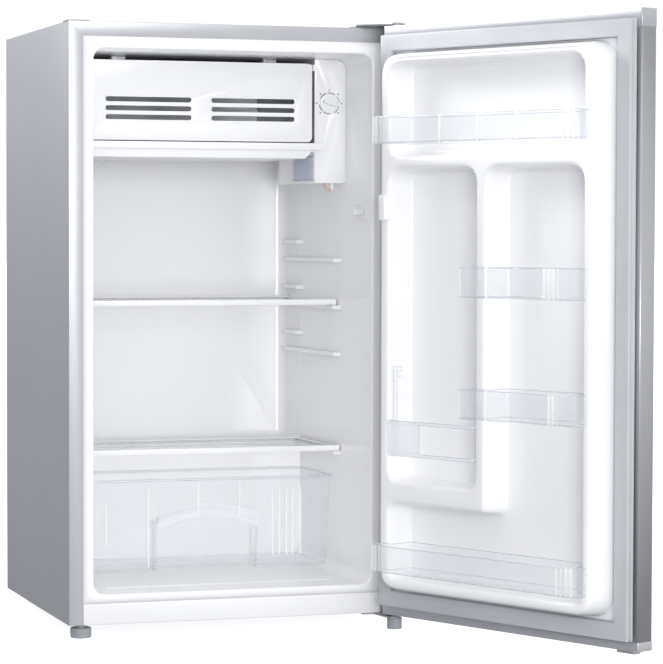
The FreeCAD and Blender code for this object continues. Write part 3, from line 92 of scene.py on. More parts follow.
def cabinet(x, y, z):
    """A point given from the middle of the cabinet's front face, in mm, to the frame."""
    return Vector((MIDDLE_X + x * MM, FRONT_Y + y * MM, z * MM))


def door(u, n, z):
    """A point on the door, in mm, to the frame."""
    return Vector((pivot.x, pivot.y, z * MM)) + turn @ Vector((-u * MM, n * MM, 0))


def on_door(point):
    """The u, n and z in mm of a point of the frame, the other way round."""
    p = unturn @ (point - Vector((pivot.x, pivot.y, 0)))
    return -p.x / MM, p.y / MM, p.z / MM


def cabinet_span(node):
    """Lowest and highest x, y and z of a node along the cabinet's axes, in mm."""
    low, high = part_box(node)
    shift = Vector((MIDDLE_X, FRONT_Y, 0))
    return [*((low - shift) / MM), *((high - shift) / MM)]


def door_span(node):
    """Lowest and highest u, n and z of a node along the door's axes, in mm."""
    points = [on_door(v.co) for v in frame["nodes"][node].data.vertices]
    columns = list(zip(*points))
    return [min(c) for c in columns] + [max(c) for c in columns]


print("door stands open by", round(math.degrees(swing), 1), "degrees")

# %% [markdown]
# # Finishes
# A real surface is never one flat colour. Moulded plastic has a faint orange-peel skin,
# paint has fine flakes and a slow drift in tone, zinc has spangles and rubber is dusty.
# One function makes the common case. Large soft noise drifts the colour. Fine noise lifts
# the surface through a bump and moves the roughness with it. Both read the object's own
# coordinates, so the pattern stays on the part when the part moves.

# %% A function for everyday finishes
slots = [m["slot"] for m in record["materials"]]
slot_of = {s["node"]: s["material_slot"] for s in record["subparts"]}
finishes = {}
BUMP_DEPTH = 0.0004


def add_node(tree, kind, **values):
    """A shader node with values for its inputs, or for its own settings."""
    node = tree.nodes.new(kind)
    for key, value in values.items():
        if key in node.inputs:
            node.inputs[key].default_value = value
        else:
            setattr(node, key, value)
    return node


def grainy_finish(slot, colour, roughness, drift=0.04, patch=5.0, grain=700.0, lift=0.05,
                  stretch=(1, 1, 1), **sockets):
    """A shader with drifting colour, uneven gloss and a fine lift."""
    made = bpy.data.materials.new(slot)
    made.use_nodes = True
    tree = made.node_tree
    shader = tree.nodes["Principled BSDF"]
    for name, value in sockets.items():
        shader.inputs[name.replace("_", " ")].default_value = value
    place = add_node(tree, "ShaderNodeTexCoord")
    scale = add_node(tree, "ShaderNodeMapping", Scale=stretch)
    tree.links.new(place.outputs["Object"], scale.inputs["Vector"])
    soft = add_node(tree, "ShaderNodeTexNoise", Scale=patch, Detail=3.0)
    fine = add_node(tree, "ShaderNodeTexNoise", Scale=grain, Detail=2.0)
    for node in (soft, fine):
        tree.links.new(scale.outputs["Vector"], node.inputs["Vector"])
    tone = add_node(tree, "ShaderNodeValToRGB")
    dark, light = tone.color_ramp.elements
    dark.position, light.position = 0.3, 0.7
    dark.color = [c * (1 - drift) for c in colour] + [1]
    light.color = [min(1, c * (1 + drift)) for c in colour] + [1]
    tree.links.new(soft.outputs["Fac"], tone.inputs["Fac"])
    tree.links.new(tone.outputs["Color"], shader.inputs["Base Color"])
    gloss = add_node(tree, "ShaderNodeMapRange")
    gloss.inputs["To Min"].default_value = max(0.02, roughness * 0.85)
    gloss.inputs["To Max"].default_value = min(1.0, roughness * 1.15)
    tree.links.new(fine.outputs["Fac"], gloss.inputs["Value"])
    tree.links.new(gloss.outputs["Result"], shader.inputs["Roughness"])
    bump = add_node(tree, "ShaderNodeBump", Strength=lift, Distance=BUMP_DEPTH)
    tree.links.new(fine.outputs["Fac"], bump.inputs["Height"])
    tree.links.new(bump.outputs["Normal"], shader.inputs["Normal"])
    finishes[slot] = made
    return made


# %% [markdown]
# The outside is silver paint on steel sheet, with the grey of fine aluminium flakes. The
# inside is high-gloss white polystyrene, a little blue, and so are the smaller white
# mouldings. The numbers after a colour are the roughness, the drift in tone, the sizes of
# the patches and of the grain, and how far the grain lifts. Paint has the finest grain.

# %% Paint, white mouldings and dull plastics
grainy_finish("silver_sheet", (0.455, 0.465, 0.49), 0.38, 0.03, 3.0, 2600.0, 0.10, Metallic=0.65)
grainy_finish("silver_plastic", (0.47, 0.48, 0.505), 0.34, 0.03, 9.0, 1800.0, 0.12, Metallic=0.45)
grainy_finish(
    "white_moulding", (0.895, 0.90, 0.915), 0.22, 0.012, 4.0, 260.0, 0.05, Coat_Weight=0.25
)
grainy_finish("white_plinth", (0.815, 0.82, 0.835), 0.34, 0.02, 6.0, 900.0, 0.06)
grainy_finish("white_trim", (0.87, 0.875, 0.89), 0.20, 0.012, 8.0, 420.0, 0.05, Coat_Weight=0.3)
grainy_finish("dial_plastic", (0.87, 0.875, 0.89), 0.26, 0.012, 20.0, 600.0, 0.05)
grainy_finish("switch_body", (0.70, 0.70, 0.68), 0.5, 0.03, 12.0, 500.0, 0.1)
grainy_finish("hinge_bush", (0.72, 0.72, 0.71), 0.4, 0.03, 12.0, 500.0, 0.1)
grainy_finish("grey_foot", (0.30, 0.32, 0.35), 0.42, 0.06, 30.0, 900.0, 0.15)
grainy_finish("black_plastic", (0.02, 0.02, 0.022), 0.45, 0.15, 12.0, 700.0, 0.2)
grainy_finish("black_rubber", (0.018, 0.018, 0.018), 0.75, 0.2, 20.0, 900.0, 0.25)
grainy_finish("gasket_grey", (0.50, 0.515, 0.54), 0.55, 0.05, 10.0, 800.0, 0.15)
grainy_finish("insulation", (0.80, 0.70, 0.42), 0.85, 0.1, 14.0, 160.0, 0.6)
print(len(finishes), "finishes so far")

# %% [markdown]
# Metals next. Rolled aluminium and turned pins show streaks, so their noise is stretched
# along one axis. Galvanised sheet shows zinc crystals. A Voronoi pattern would draw sharp
# cells; a coarse noise with strong contrast gives the same blotchy look with a softer edge.

# %% Metals
ROLLED, TURNED = (0.06, 1, 1), (1, 1, 0.1)
grainy_finish(
    "aluminium_sheet", (0.62, 0.64, 0.67), 0.38, 0.06, 8.0, 260.0, 0.2, ROLLED, Metallic=1.0
)
grainy_finish("copper_tube", (0.62, 0.30, 0.17), 0.32, 0.12, 25.0, 500.0, 0.1, Metallic=1.0)
grainy_finish("galvanised_sheet", (0.50, 0.52, 0.54), 0.45, 0.14, 60.0, 300.0, 0.1, Metallic=0.85)
grainy_finish("zinc_fastener", (0.60, 0.61, 0.62), 0.3, 0.08, 80.0, 900.0, 0.1, Metallic=1.0)
grainy_finish("hinge_steel", (0.34, 0.35, 0.37), 0.38, 0.06, 30.0, 1200.0, 0.12, Metallic=0.8)
grainy_finish("pin_steel", (0.55, 0.56, 0.58), 0.22, 0.04, 40.0, 900.0, 0.06, TURNED, Metallic=1.0)
grainy_finish("black_enamel", (0.012, 0.012, 0.014), 0.2, 0.2, 18.0, 300.0, 0.1, Coat_Weight=0.5)
print(len(finishes), "finishes with the metals")

# %% [markdown]
# Clear parts. The bins and the drawer are clear polystyrene about 2 mm thick. Full
# refraction through so many thin walls is slow and turns muddy. A thin wall mostly lets
# light straight through and adds a faint milky body, so a shader with low alpha and high
# gloss stands for it. Three more finishes of the same plastic are for particular places. A
# denser one is for thicker walls. A darker one goes on rims: partly the longer path through
# the plastic, partly painted shade for the dark edge that refraction gives. A brighter one
# on ribs, seams and steps is a painted highlight, where they would catch the light.

# %% Clear plastic, glass and the lamp
CLEAR_FINISHES = (
    ("clear_plastic", (0.76, 0.79, 0.84), 0.12, 0.08, 0.02),
    ("tempered_glass", (0.80, 0.88, 0.88), 0.30, 0.04, 0.02),
    ("lens_plastic", (0.74, 0.79, 0.90), 0.62, 0.18, 0.02),
    ("lamp_glass", (0.92, 0.90, 0.84), 0.55, 0.12, 0.02),
    ("clear_dense", (0.84, 0.87, 0.91), 0.38, 0.12, 0.02),
    # The brighter finish is a painted highlight, for ribs, seams and steps.
    ("clear_bright", (0.96, 0.97, 0.98), 0.55, 0.1, 0.01),
    # The darker rim finish: partly the longer path through the plastic, partly painted shade for
    # refraction.
    ("clear_rim", (0.54, 0.58, 0.64), 0.5, 0.1, 0.02),
)
PLASTIC_IOR = 1.55
for name, colour, alpha, roughness, drift in CLEAR_FINISHES:
    grainy_finish(name, colour, roughness, drift, 6.0, 180.0, 0.03, Alpha=alpha, IOR=PLASTIC_IOR)
CLEAR_SLOTS = ("clear_plastic", "tempered_glass")
print("slots without a finish:", sorted(set(slots) - set(finishes)))

# %% [markdown]
# # Mesh tools
# Most forms here are rings of points with a skin between them: a bar is two rings, a bin
# is ten. One tool makes the skin, and one adds such a skin to a growing list, so that many
# small bars become one mesh. A third turns points in millimetres into a piece that rides
# on a body of the CAD model and takes the finish of a slot.

# %% Rings and pieces
WELD_MM = 0.001


def skin(rings, closed=True, capped=True):
    """Faces between rings of equal length, and across the first and last ring."""
    points = [p for ring in rings for p in ring]
    count = len(rings[0])
    faces = []
    for r in range(len(rings) - 1):
        near, far = r * count, (r + 1) * count
        for i in range(count if closed else count - 1):
            j = (i + 1) % count
            faces.append((near + i, near + j, far + j, far + i))
    if capped:
        faces.append(tuple(range(count - 1, -1, -1)))
        last = (len(rings) - 1) * count
        faces.append(tuple(range(last, last + count)))
    return points, faces


def add_skin(points, faces, rings, capped=True):
    """Adds the skin of some rings to the points and faces of a larger mesh."""
    start = len(points)
    new_points, new_faces = skin(rings, capped=capped)
    points.extend(new_points)
    faces.extend(tuple(start + i for i in face) for face in new_faces)


def mounted(name, mesh, body, slot, finish=None):
    """An object for a mesh, in its finish, riding on a body."""
    piece = bpy.data.objects.new(name, mesh)
    bpy.context.scene.collection.objects.link(piece)
    mesh.materials.clear()
    mesh.materials.append(finishes[finish or slot])
    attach(piece, body)
    return piece


def new_piece(name, points, faces, axes, body, slot, nodes=(), smooth=40.0, finish=None):
    """A mesh piece from points in mm along the given axes."""
    mesh = bpy.data.meshes.new(name)
    mesh.from_pydata([axes(*p) for p in points], [], faces)
    work = bmesh.new()
    work.from_mesh(mesh)
    bmesh.ops.remove_doubles(work, verts=work.verts, dist=WELD_MM * MM)
    bmesh.ops.recalc_face_normals(work, faces=work.faces)
    work.to_mesh(mesh)
    work.free()
    mesh.shade_smooth()
    mesh.set_sharp_from_angle(angle=math.radians(smooth))
    piece = mounted(name, mesh, body, slot, finish)
    if nodes:
        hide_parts(*nodes)
    return piece


print("rings and pieces ready")

# %% [markdown]
# Three things are wanted again and again. A sheet needs a thickness on the right side. A
# moulded or pressed part needs its edges rounded. A clear thin wall hardly shades what is
# behind it, so it is left out of the shadows, and the inside of a bin stays bright.

# %% Thickness, rounded edges and clear walls
SHARP_DEGREES = 32.0


def thicken(piece, thickness, outwards):
    """Gives an open skin a thickness on its outer or its inner side."""
    largest = max(piece.data.polygons, key=lambda face: face.area)
    middle = sum((v.co for v in piece.data.vertices), Vector()) / len(piece.data.vertices)
    faces_out = (largest.center - middle).dot(largest.normal) > 0
    sheet = piece.modifiers.new("sheet_thickness", "SOLIDIFY")
    sheet.thickness = thickness * MM
    sheet.offset = 1.0 if faces_out == outwards else -1.0


def round_edges(piece, width, steps=2):
    """Rounds every sharp edge, in a number of steps."""
    bevel = piece.modifiers.new("edge_rounding", "BEVEL")
    bevel.width = width * MM
    bevel.segments = steps
    bevel.limit_method = "ANGLE"
    bevel.angle_limit = math.radians(SHARP_DEGREES)
    bevel.harden_normals = True
    bevel.miter_outer = "MITER_ARC"
    return bevel


def let_light_through(piece):
    """Leaves a clear piece out of the shadows and of the light that bounces."""
    piece.visible_shadow = False
    piece.visible_diffuse = False


print("sheet, edge and clear wall tools ready")

# %% [markdown]
# The last tool takes a CAD node whose form is right but whose edges are knife sharp. It
# joins the triangles back into whole faces and rounds the edges, as a mould or a press
# brake would. On a clear part the rounded edges can take the darker rim finish, partly
# painted shade.

# %% Eased copies of CAD nodes
SAME_FACE_DEGREES = 0.6


def eased_copy(node, width, steps=2, name=None, rim=None, finish=None):
    """A copy of a CAD node with whole faces again and rounded edges, in its place."""
    name = name or node + "_finished"
    mesh = bpy.data.meshes.new(name)
    work = bmesh.new()
    work.from_mesh(frame["nodes"][node].data)
    bmesh.ops.remove_doubles(work, verts=work.verts, dist=2 * WELD_MM * MM)
    bmesh.ops.dissolve_limit(
        work, angle_limit=math.radians(SAME_FACE_DEGREES), verts=work.verts, edges=work.edges,
        use_dissolve_boundaries=False,
    )
    work.to_mesh(mesh)
    work.free()
    mesh.shade_smooth()
    piece = mounted(name, mesh, frame["nodes"][node]["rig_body"], slot_of[node], finish)
    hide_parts(node)
    bevel = round_edges(piece, width, steps)
    if slot_of[node] in CLEAR_SLOTS:
        let_light_through(piece)
    if rim:
        mesh.materials.append(finishes[rim])
        bevel.material = 1
    return piece


print("eased copies ready")

# %% [markdown]
# # Mouldings and pressings that keep their CAD form
# Most small parts only need their edges eased by the right amount: half a millimetre on
# thin sheet, and about one on mouldings, feet and the compressor's shell. A table says how
# much for each, in millimetres. The clear drawer and the bottle holder also get the darker
# rim finish on their rounded edges, partly painted shade.

# %% Eased parts
EASED = {
    "front_plinth": 1.2, "base_plate": 0.3, "bay_panel": 0.4, "bay_floor": 0.8, "cord_inlet": 0.5,
    "compressor": 1.2, "compressor_grommets": 1.5, "relay_box": 0.8, "drain_pan": 0.7,
    "refrigerant_pipes": 0.2, "filter_drier": 0.6, "back_screws": 0.8, "front_left_foot": 0.3,
    "front_right_foot": 0.5, "rear_feet": 1.5, "lower_hinge_bracket": 0.5, "lower_hinge_pin": 0.5,
    "upper_hinge_bracket": 0.6, "upper_hinge_pin": 0.5, "hinge_screws": 0.7,
    "hinge_hole_cover": 0.5,
    "evaporator_box": 0.5, "evaporator_hangers": 1.0, "flap_brackets": 0.4, "freezer_flap": 0.9,
    "drip_tray": 0.8, "control_box": 0.9, "thermostat_dial": 0.6, "thermostat_switch": 1.0,
    "capillary_tube": 0.2, "lamp_lens": 0.25, "lamp_socket": 0.8, "lamp_bulb": 0.5,
    "door_switch_frame": 0.4, "door_switch_paddle": 0.7, "shelf_glass": 0.8, "shelf_trims": 1.2,
    "crisper_cover_glass": 0.8, "crisper_cover_frame": 1.2, "crisper_drawer": 0.9,
    "door_bush_upper": 0.4, "door_bush_lower": 0.4, "hinge_hole_plug": 0.9, "door_top_cap": 1.2,
    "door_bottom_cap": 1.2, "bottle_holder": 0.9, "bottle_holder_pegs": 0.6,
}
# These two get rounded edges in the darker rim finish, partly painted shade.
RIMMED = {"crisper_drawer": "clear_plastic", "bottle_holder": "clear_dense"}
for node, width in EASED.items():
    if node in RIMMED:
        eased_copy(node, width, rim="clear_rim", finish=RIMMED[node])
    else:
        eased_copy(node, width)
print(len(EASED), "parts eased")

# %% [markdown]
# # The wrap of the cabinet
# One long sheet is folded over the sides and the top, and its front edge is folded in to
# make a flange that meets the next flange in a 45 degree mitre. The fold has a radius of
# about the sheet's own thickness, so the corner of the cabinet shows a thin bright line.
# The mitre is left as a fine dark seam.

# %% The wrap and its mitre seams
half_x = (shell_high.x - shell_low.x) / 2 / MM
top_z = shell_high.z / MM
FLANGE = 20.0
SEAM, SEAM_PROUD = 0.35, 0.05

eased_copy("outer_shell", 0.9, 3, "cabinet_wrap")
seams = bmesh.new()
for side in (-1, 1):
    corner = Vector((side * half_x, 0, top_z))
    inner = Vector((side * (half_x - FLANGE), 0, top_z - FLANGE))
    across = Vector((1, 0, side)).normalized() * SEAM
    ring = [seams.verts.new(cabinet(*(p + d))) for p, d in (
        (corner, -across), (corner, across), (inner, across), (inner, -across))]
    seams.faces.new(ring)
made = bmesh.ops.extrude_face_region(seams, geom=seams.faces[:])
for v in made["geom"]:
    if isinstance(v, bmesh.types.BMVert):
        v.co.y += SEAM * MM
mesh = bpy.data.meshes.new("mitre_seams")
bmesh.ops.recalc_face_normals(seams, faces=seams.faces)
bmesh.ops.translate(seams, verts=seams.verts, vec=(0, -SEAM_PROUD * MM, 0))
seams.to_mesh(mesh)
seams.free()
mounted("mitre_seams", mesh, "cabinet", "black_plastic")
print("wrap", round(2 * half_x), "mm wide")

# %% [markdown]
# # The liner
# The white inside is one sheet of plastic, softened by heat and sucked over a mould. The
# sheet can't follow a sharp corner, so the depth edges, the back edges and the foot of the
# step over the machinery all have a large radius, about 15 mm. The step's upper edge wraps
# over the mould and is tighter. These are its sizes. The walls lean in a little towards
# the back, so that the sheet comes off the mould.

# %% Sizes of the liner
liner_back = cabinet_span("inner_liner")[4]
LINER_WALL = 2.0
MOUTH_HALF = 201.0
MOUTH_LOW, MOUTH_HIGH = 60.5, 808.4
DRAFT, FLOOR_RISE, ROOF_DROP = 11.0, 6.5, 6.0
STEP_Y, STEP_Z = 300.0, 240.0
CAVITY_BACK = liner_back - LINER_WALL
FORM_RADIUS = 15.0
STEP_RADIUS = 6.0
ROLL = 3.0
LIP_LOW = 48.4
LIP_CORNER, LEAST_RADIUS = 0.4, 0.3
QUARTER = [math.radians(15 * k) for k in range(7)]


def wall_x(y):
    """Distance of a side wall from the middle, at a depth."""
    return MOUTH_HALF - DRAFT * y / CAVITY_BACK


def floor_z(y):
    """Height of the floor in front of the step."""
    return MOUTH_LOW + FLOOR_RISE * y / CAVITY_BACK


def roof_z(y):
    """Height of the roof."""
    return MOUTH_HIGH - ROOF_DROP * y / CAVITY_BACK


print("liner mouth", 2 * MOUTH_HALF, "by", round(MOUTH_HIGH - MOUTH_LOW, 1), "mm")

# %% [markdown]
# The form is a tube of rounded rectangles that runs from the front lip to the back. Its
# floor climbs over the step in two quarter circles, and its last rings shrink in a quarter
# circle to close the back. A Solidify then gives the sheet its thickness, away from the
# cavity. Rounding the edges of a box one by one would be harder to steer.

# %% The vacuum-formed liner


def rounded_box(left, right, low, high, radius, steps=6):
    """Points of a rounded rectangle, corner by corner."""
    made = []
    for k, (cx, cz) in enumerate((
        (right - radius, high - radius), (left + radius, high - radius),
        (left + radius, low + radius), (right - radius, low + radius),
    )):
        for i in range(steps + 1):
            a = math.radians(90 * k + 90 * i / steps)
            made.append((cx + radius * math.cos(a), cz + radius * math.sin(a)))
    return made


def liner_ring(y, low, grow=0.0, radius=FORM_RADIUS):
    """A cross-section of the cavity at a depth, from its floor up."""
    half = wall_x(max(y, ROLL)) + grow
    return [(x, y, z) for x, z in rounded_box(-half, half, low - grow, roof_z(y) + grow, radius)]


lip_half = half_x - FLANGE
lip = rounded_box(-lip_half, lip_half, LIP_LOW, top_z - FLANGE, LIP_CORNER)
rings = [[(x, 0.0, z) for x, z in lip]]
for a in QUARTER:
    grow = ROLL * (1 - math.sin(a))
    rings.append(liner_ring(ROLL * (1 - math.cos(a)), MOUTH_LOW, grow, FORM_RADIUS + grow))
foot_y = STEP_Y - FORM_RADIUS
for a in QUARTER:
    y = foot_y + FORM_RADIUS * math.sin(a)
    rings.append(liner_ring(y, floor_z(foot_y) + FORM_RADIUS * (1 - math.cos(a))))
for a in QUARTER:
    y = STEP_Y + STEP_RADIUS * (1 - math.cos(a))
    rings.append(liner_ring(y, STEP_Z - STEP_RADIUS * (1 - math.sin(a))))
for a in QUARTER:
    inset = FORM_RADIUS * (1 - math.cos(a))
    y = CAVITY_BACK - FORM_RADIUS + FORM_RADIUS * math.sin(a)
    rings.append(liner_ring(y, STEP_Z, -inset, max(LEAST_RADIUS, FORM_RADIUS - inset)))
points, faces = skin(rings)
mouth_cap = faces[-2]
faces.remove(mouth_cap)
liner = new_piece(
    "formed_liner", points, faces, cabinet, "cabinet", "white_moulding", ["inner_liner"]
)
thicken(liner, LINER_WALL, True)
print("liner formed from", len(rings), "rings")

# %% [markdown]
# Ledges on the side walls carry the glass shelf, the drawer's cover and the drip tray. On
# the real liner they are drawn out of the same sheet, so their edges are soft. They are
# made here as bars with rounded edges, sunk a little into the wall.

# %% Shelf ledges
RIB_PROUD, RIB_HIGH, RIB_FRONT = 9.0, 6.5, 123.0
SHELF_TOPS = (383.5, 452.0, 520.5)
STOP_UP, STOP_Y = 26.0, 285.0
RIB_BACK = CAVITY_BACK - 16.0
COVER_LEDGE = (122.0, 297.0, STEP_Z)
TRAY_LEDGE = (108.0, RIB_BACK, 675.2)
SUNK, LEDGE_EASE = 1.0, 1.6
ledges = [(RIB_FRONT, RIB_BACK, top) for top in SHELF_TOPS]
ledges += [(STOP_Y, RIB_BACK, top + STOP_UP) for top in SHELF_TOPS]
ledges.append(COVER_LEDGE)
points, faces = [], []


def add_ledge(side, y0, y1, top):
    """A bar on a side wall with a slanted front end."""
    outline = (
        (wall_x(y0) + SUNK, y0), (wall_x(y0 + RIB_PROUD) - RIB_PROUD, y0 + RIB_PROUD),
        (wall_x(y1) - RIB_PROUD, y1), (wall_x(y1) + SUNK, y1),
    )
    levels = (top - RIB_HIGH, top)
    add_skin(points, faces, [[(side * x, y, z) for x, y in outline] for z in levels])


for y0, y1, top in ledges:
    add_ledge(-1, y0, y1, top)
    add_ledge(1, y0, y1, top)
add_ledge(-1, *TRAY_LEDGE)
bars = new_piece("shelf_ledges", points, faces, cabinet, "cabinet", "white_moulding")
round_edges(bars, LEDGE_EASE, 3)
print(2 * len(ledges) + 1, "ledges")

# %% [markdown]
# # The back
# The back is a thin galvanised sheet. A flat sheet that size would drum, so it is pressed
# with shallow beads. Two closed beads, each a low flat-topped ridge round a field, do it.

# %% The pressed back sheet
x0, y0, z0, x1, y1, z1 = cabinet_span("back_panel")
eased_copy("back_panel", 0.25)
FIELD_EDGE, FIELD_END, FIELD_GAP = 34.0, 30.0, 12.0
BAY_TOP = 224.0
BEAD = ((0, 0.0), (3.0, 0.7), (7.0, 0.7), (10.0, 0.1))
BEAD_SHEET = 0.5
points, faces = [], []
middle = (BAY_TOP + z1) / 2
fields = ((BAY_TOP + FIELD_END, middle - FIELD_GAP), (middle + FIELD_GAP, z1 - FIELD_END))
for low, high in fields:
    rings = []
    for inset, out in BEAD:
        left, right = x0 + FIELD_EDGE + inset, x1 - FIELD_EDGE - inset
        rings.append([
            (left, y1 + out, low + inset), (right, y1 + out, low + inset),
            (right, y1 + out, high - inset), (left, y1 + out, high - inset),
        ])
    add_skin(points, faces, rings, capped=False)
beads = new_piece("back_stiffening_beads", points, faces, cabinet, "cabinet", "galvanised_sheet")
solid = beads.modifiers.new("sheet_thickness", "SOLIDIFY")
solid.thickness, solid.offset = BEAD_SHEET * MM, 0.0
print("back sheet pressed with", len(fields), "fields")

# %% [markdown]
# # The door
# The door's outer skin is a sheet bent round the front and both edges, with folds of
# about 3 mm radius, and turned in at the back under the seal. It is drawn as one open
# section and drawn upwards, then thickened inwards.

# %% The door's steel skin
u0, n0, z0, u1, n1, z1 = door_span("door_panel")
DOOR_FOLD = 3.0
RETURN = 16.0
DOOR_SHEET = 0.8


def arc(cu, cn, r, start, end, steps=6):
    """Points of an arc between two angles in degrees."""
    made = []
    for i in range(steps + 1):
        a = math.radians(start + (end - start) * i / steps)
        made.append((cu + r * math.cos(a), cn + r * math.sin(a)))
    return made


r = DOOR_FOLD
section = [(u0 + RETURN, n1)]
section += arc(u0 + r, n1 - r, r, 90, 180)
section += arc(u0 + r, n0 + r, r, 180, 270)
section += arc(u1 - r, n0 + r, r, 270, 360)
section += arc(u1 - r, n1 - r, r, 0, 90)
section.append((u1 - RETURN, n1))
rings = [[(u, n, z) for u, n in section] for z in (z0, z1)]
points, faces = skin(rings, closed=False, capped=False)
skin_piece = new_piece("door_skin", points, faces, door, "door", "silver_sheet", ["door_panel"])
thicken(skin_piece, DOOR_SHEET, False)
print("door skin", round(u1 - u0), "by", round(z1 - z0), "mm")

# %% [markdown]
# The inner moulding of the door is formed like the liner: a raised frame with a hollow at
# the top, a bay for bottles and a bay for bins that turns the corner at the foot. Sheet
# plastic leaves a soft radius at the top and the foot of every wall. So each wall is a
# stack of outlines, drawn in step by step along a curve, and the flat parts between them
# are filled afterwards. Two helpers do the outlines. A corner is a parabola between two
# points on its arms, close to a circle and simple to compute.

# %% Outlines with rounded corners
CORNER_RUNS = 6


def rounded_outline(corners, step=2.5):
    """A closed outline through corners given as (u, n, radius), with short even runs."""
    made = []
    count = len(corners)
    for i, (u, n, r) in enumerate(corners):
        here = Vector((u, n))
        back = Vector(corners[i - 1][:2]) - here
        ahead = Vector(corners[(i + 1) % count][:2]) - here
        back.normalize()
        ahead.normalize()
        angle = back.angle(ahead)
        cut = r / math.tan(angle / 2)
        start, end = here + back * cut, here + ahead * cut
        for k in range(CORNER_RUNS + 1):
            t = k / CORNER_RUNS
            made.append(start.lerp(here, t).lerp(here.lerp(end, t), t))
    full = []
    for i, p in enumerate(made):
        q = made[(i + 1) % len(made)]
        runs = max(1, round((q - p).length / step))
        full.extend(p.lerp(q, k / runs) for k in range(runs))
    return full


def drawn_in(outline, distance):
    """The same outline moved inwards, point by point."""
    area = sum(p.x * q.y - q.x * p.y for p, q in zip(outline, outline[1:] + outline[:1]))
    sign = 1 if area > 0 else -1
    made = []
    for i, p in enumerate(outline):
        run = outline[(i + 1) % len(outline)] - outline[i - 1]
        normal = Vector((-run.y, run.x)).normalized() * sign
        made.append(p + normal * distance)
    return made


print("outline helpers ready")

# %% [markdown]
# The corners below are given as u, z and radius. The two lists of levels are the curves of
# a wall, each level as a distance inwards and a height n. The first list climbs from the
# door's plate to the crest, the second drops from the crest into a hollow.

# %% The inner moulding of the door
u0, n0, z0, u1, n1, z1 = door_span("door_liner")
PLATE_N = n0 + LINER_WALL
CREST_N, POCKET_N = 62.0, 22.0
DYKE_BASE, DYKE_CORNER = (30.0, 64.0, u1 - 30.3, z1 - 27.7), 34
WALL_UP = (
    (-4.0, PLATE_N), (-2.4, PLATE_N + 0.2), (-1.1, PLATE_N + 1.0), (-0.3, PLATE_N + 2.4),
    (0.3, PLATE_N + 4.2), (4.4, 56.0), (4.9, 58.5), (5.9, 60.5), (7.5, 61.6), (9.5, CREST_N),
)
WALL_DOWN = (
    (-4.5, CREST_N), (-2.6, 61.7), (-1.0, 60.6), (0.0, 58.8), (0.5, 56.5), (4.0, 29.0),
    (4.6, 26.5), (5.8, 24.4), (7.8, 22.8), (10.2, 22.1), (12.0, POCKET_N),
)
FORMED_SHEET, OUTLINE_STEP = 1.6, 12
left, right = 50.0, 408.0
HOLLOWS = (
    ((left, 660, 26), (right, 660, 26), (right, 792, 26), (left, 792, 26)),
    ((left, 214, 22), (217, 214, 22), (217, 648, 26), (left, 648, 26)),
    (
        (left, 80, 17), (right, 80, 17), (right, 648, 26),
        (233, 648, 26), (233, 188, 6), (left, 188, 17),
    ),
)
form = bmesh.new()


def wall_of(outline, levels):
    """A wall of stacked outlines; gives back its first and its last ring of edges."""
    previous, first = None, None
    for inset, n in levels:
        ring = [form.verts.new((p.x, n, p.y)) for p in drawn_in(outline, inset)]
        for i in range(len(ring)):
            j = (i + 1) % len(ring)
            if previous:
                form.faces.new((previous[i], previous[j], ring[j], ring[i]))
        first = first or ring
        previous = ring
    ends = []
    for ring in (first, previous):
        pairs = [(ring[i], ring[i - 1]) for i in range(len(ring))]
        ends.append([form.edges.get(pair) or form.edges.new(pair) for pair in pairs])
    return ends


du0, dz0, du1, dz1 = DYKE_BASE
corners = [(u, z, DYKE_CORNER) for u, z in ((du0, dz0), (du1, dz0), (du1, dz1), (du0, dz1))]
outside = rounded_outline(corners, OUTLINE_STEP)
foot_edges, crest_edges = wall_of(outside, WALL_UP)
border = [form.verts.new((u, PLATE_N, z)) for u, z in ((u0, z0), (u1, z0), (u1, z1), (u0, z1))]
border_edges = [form.edges.new((border[i], border[i - 1])) for i in range(4)]
floors = []
for hollow in HOLLOWS:
    rim_edges, floor_edges = wall_of(rounded_outline(hollow, OUTLINE_STEP), WALL_DOWN)
    crest_edges += rim_edges
    floors.append(floor_edges)
for loop in [border_edges + foot_edges, crest_edges] + floors:
    bmesh.ops.triangle_fill(form, edges=loop, use_beauty=True)
form.verts.index_update()
points = [tuple(v.co) for v in form.verts]
faces = [tuple(v.index for v in f.verts) for f in form.faces]
form.free()
moulding = new_piece(
    "door_moulding", points, faces, door, "door", "white_moulding", ["door_liner"]
)
thicken(moulding, FORMED_SHEET, False)
print("door moulding with", len(HOLLOWS), "hollows")

# %% [markdown]
# A small tab stands on the moulding by the hinge. When the door shuts, it comes beside the
# lamp switch in the cabinet's wall.

# %% The striker tab
su0, su1, sz0, sz1 = 38.0, 52.0, 574.5, 611.0
TAB_CORNER = 3.0
rings = []
for n, i in ((CREST_N - 1.0, 0.0), (n1 - 0.8, 0.6), (n1, 1.4)):
    outline = rounded_box(su0 + i, su1 - i, sz0 + i, sz1 - i, TAB_CORNER, 4)
    rings.append([(u, n, z) for u, z in outline])
points, faces = skin(rings)
new_piece("striker_tab", points, faces, door, "door", "white_moulding")
print("striker tab", round(n1 - CREST_N, 1), "mm high")

# %% [markdown]
# # The seal
# A magnetic seal is a soft extrusion: a flat foot that snaps into the door, a bellows
# that gives, and a tube that holds the magnet strip. Four lengths are welded at the
# corners in mitres. Its section is walked round the door as rings, one for each point.

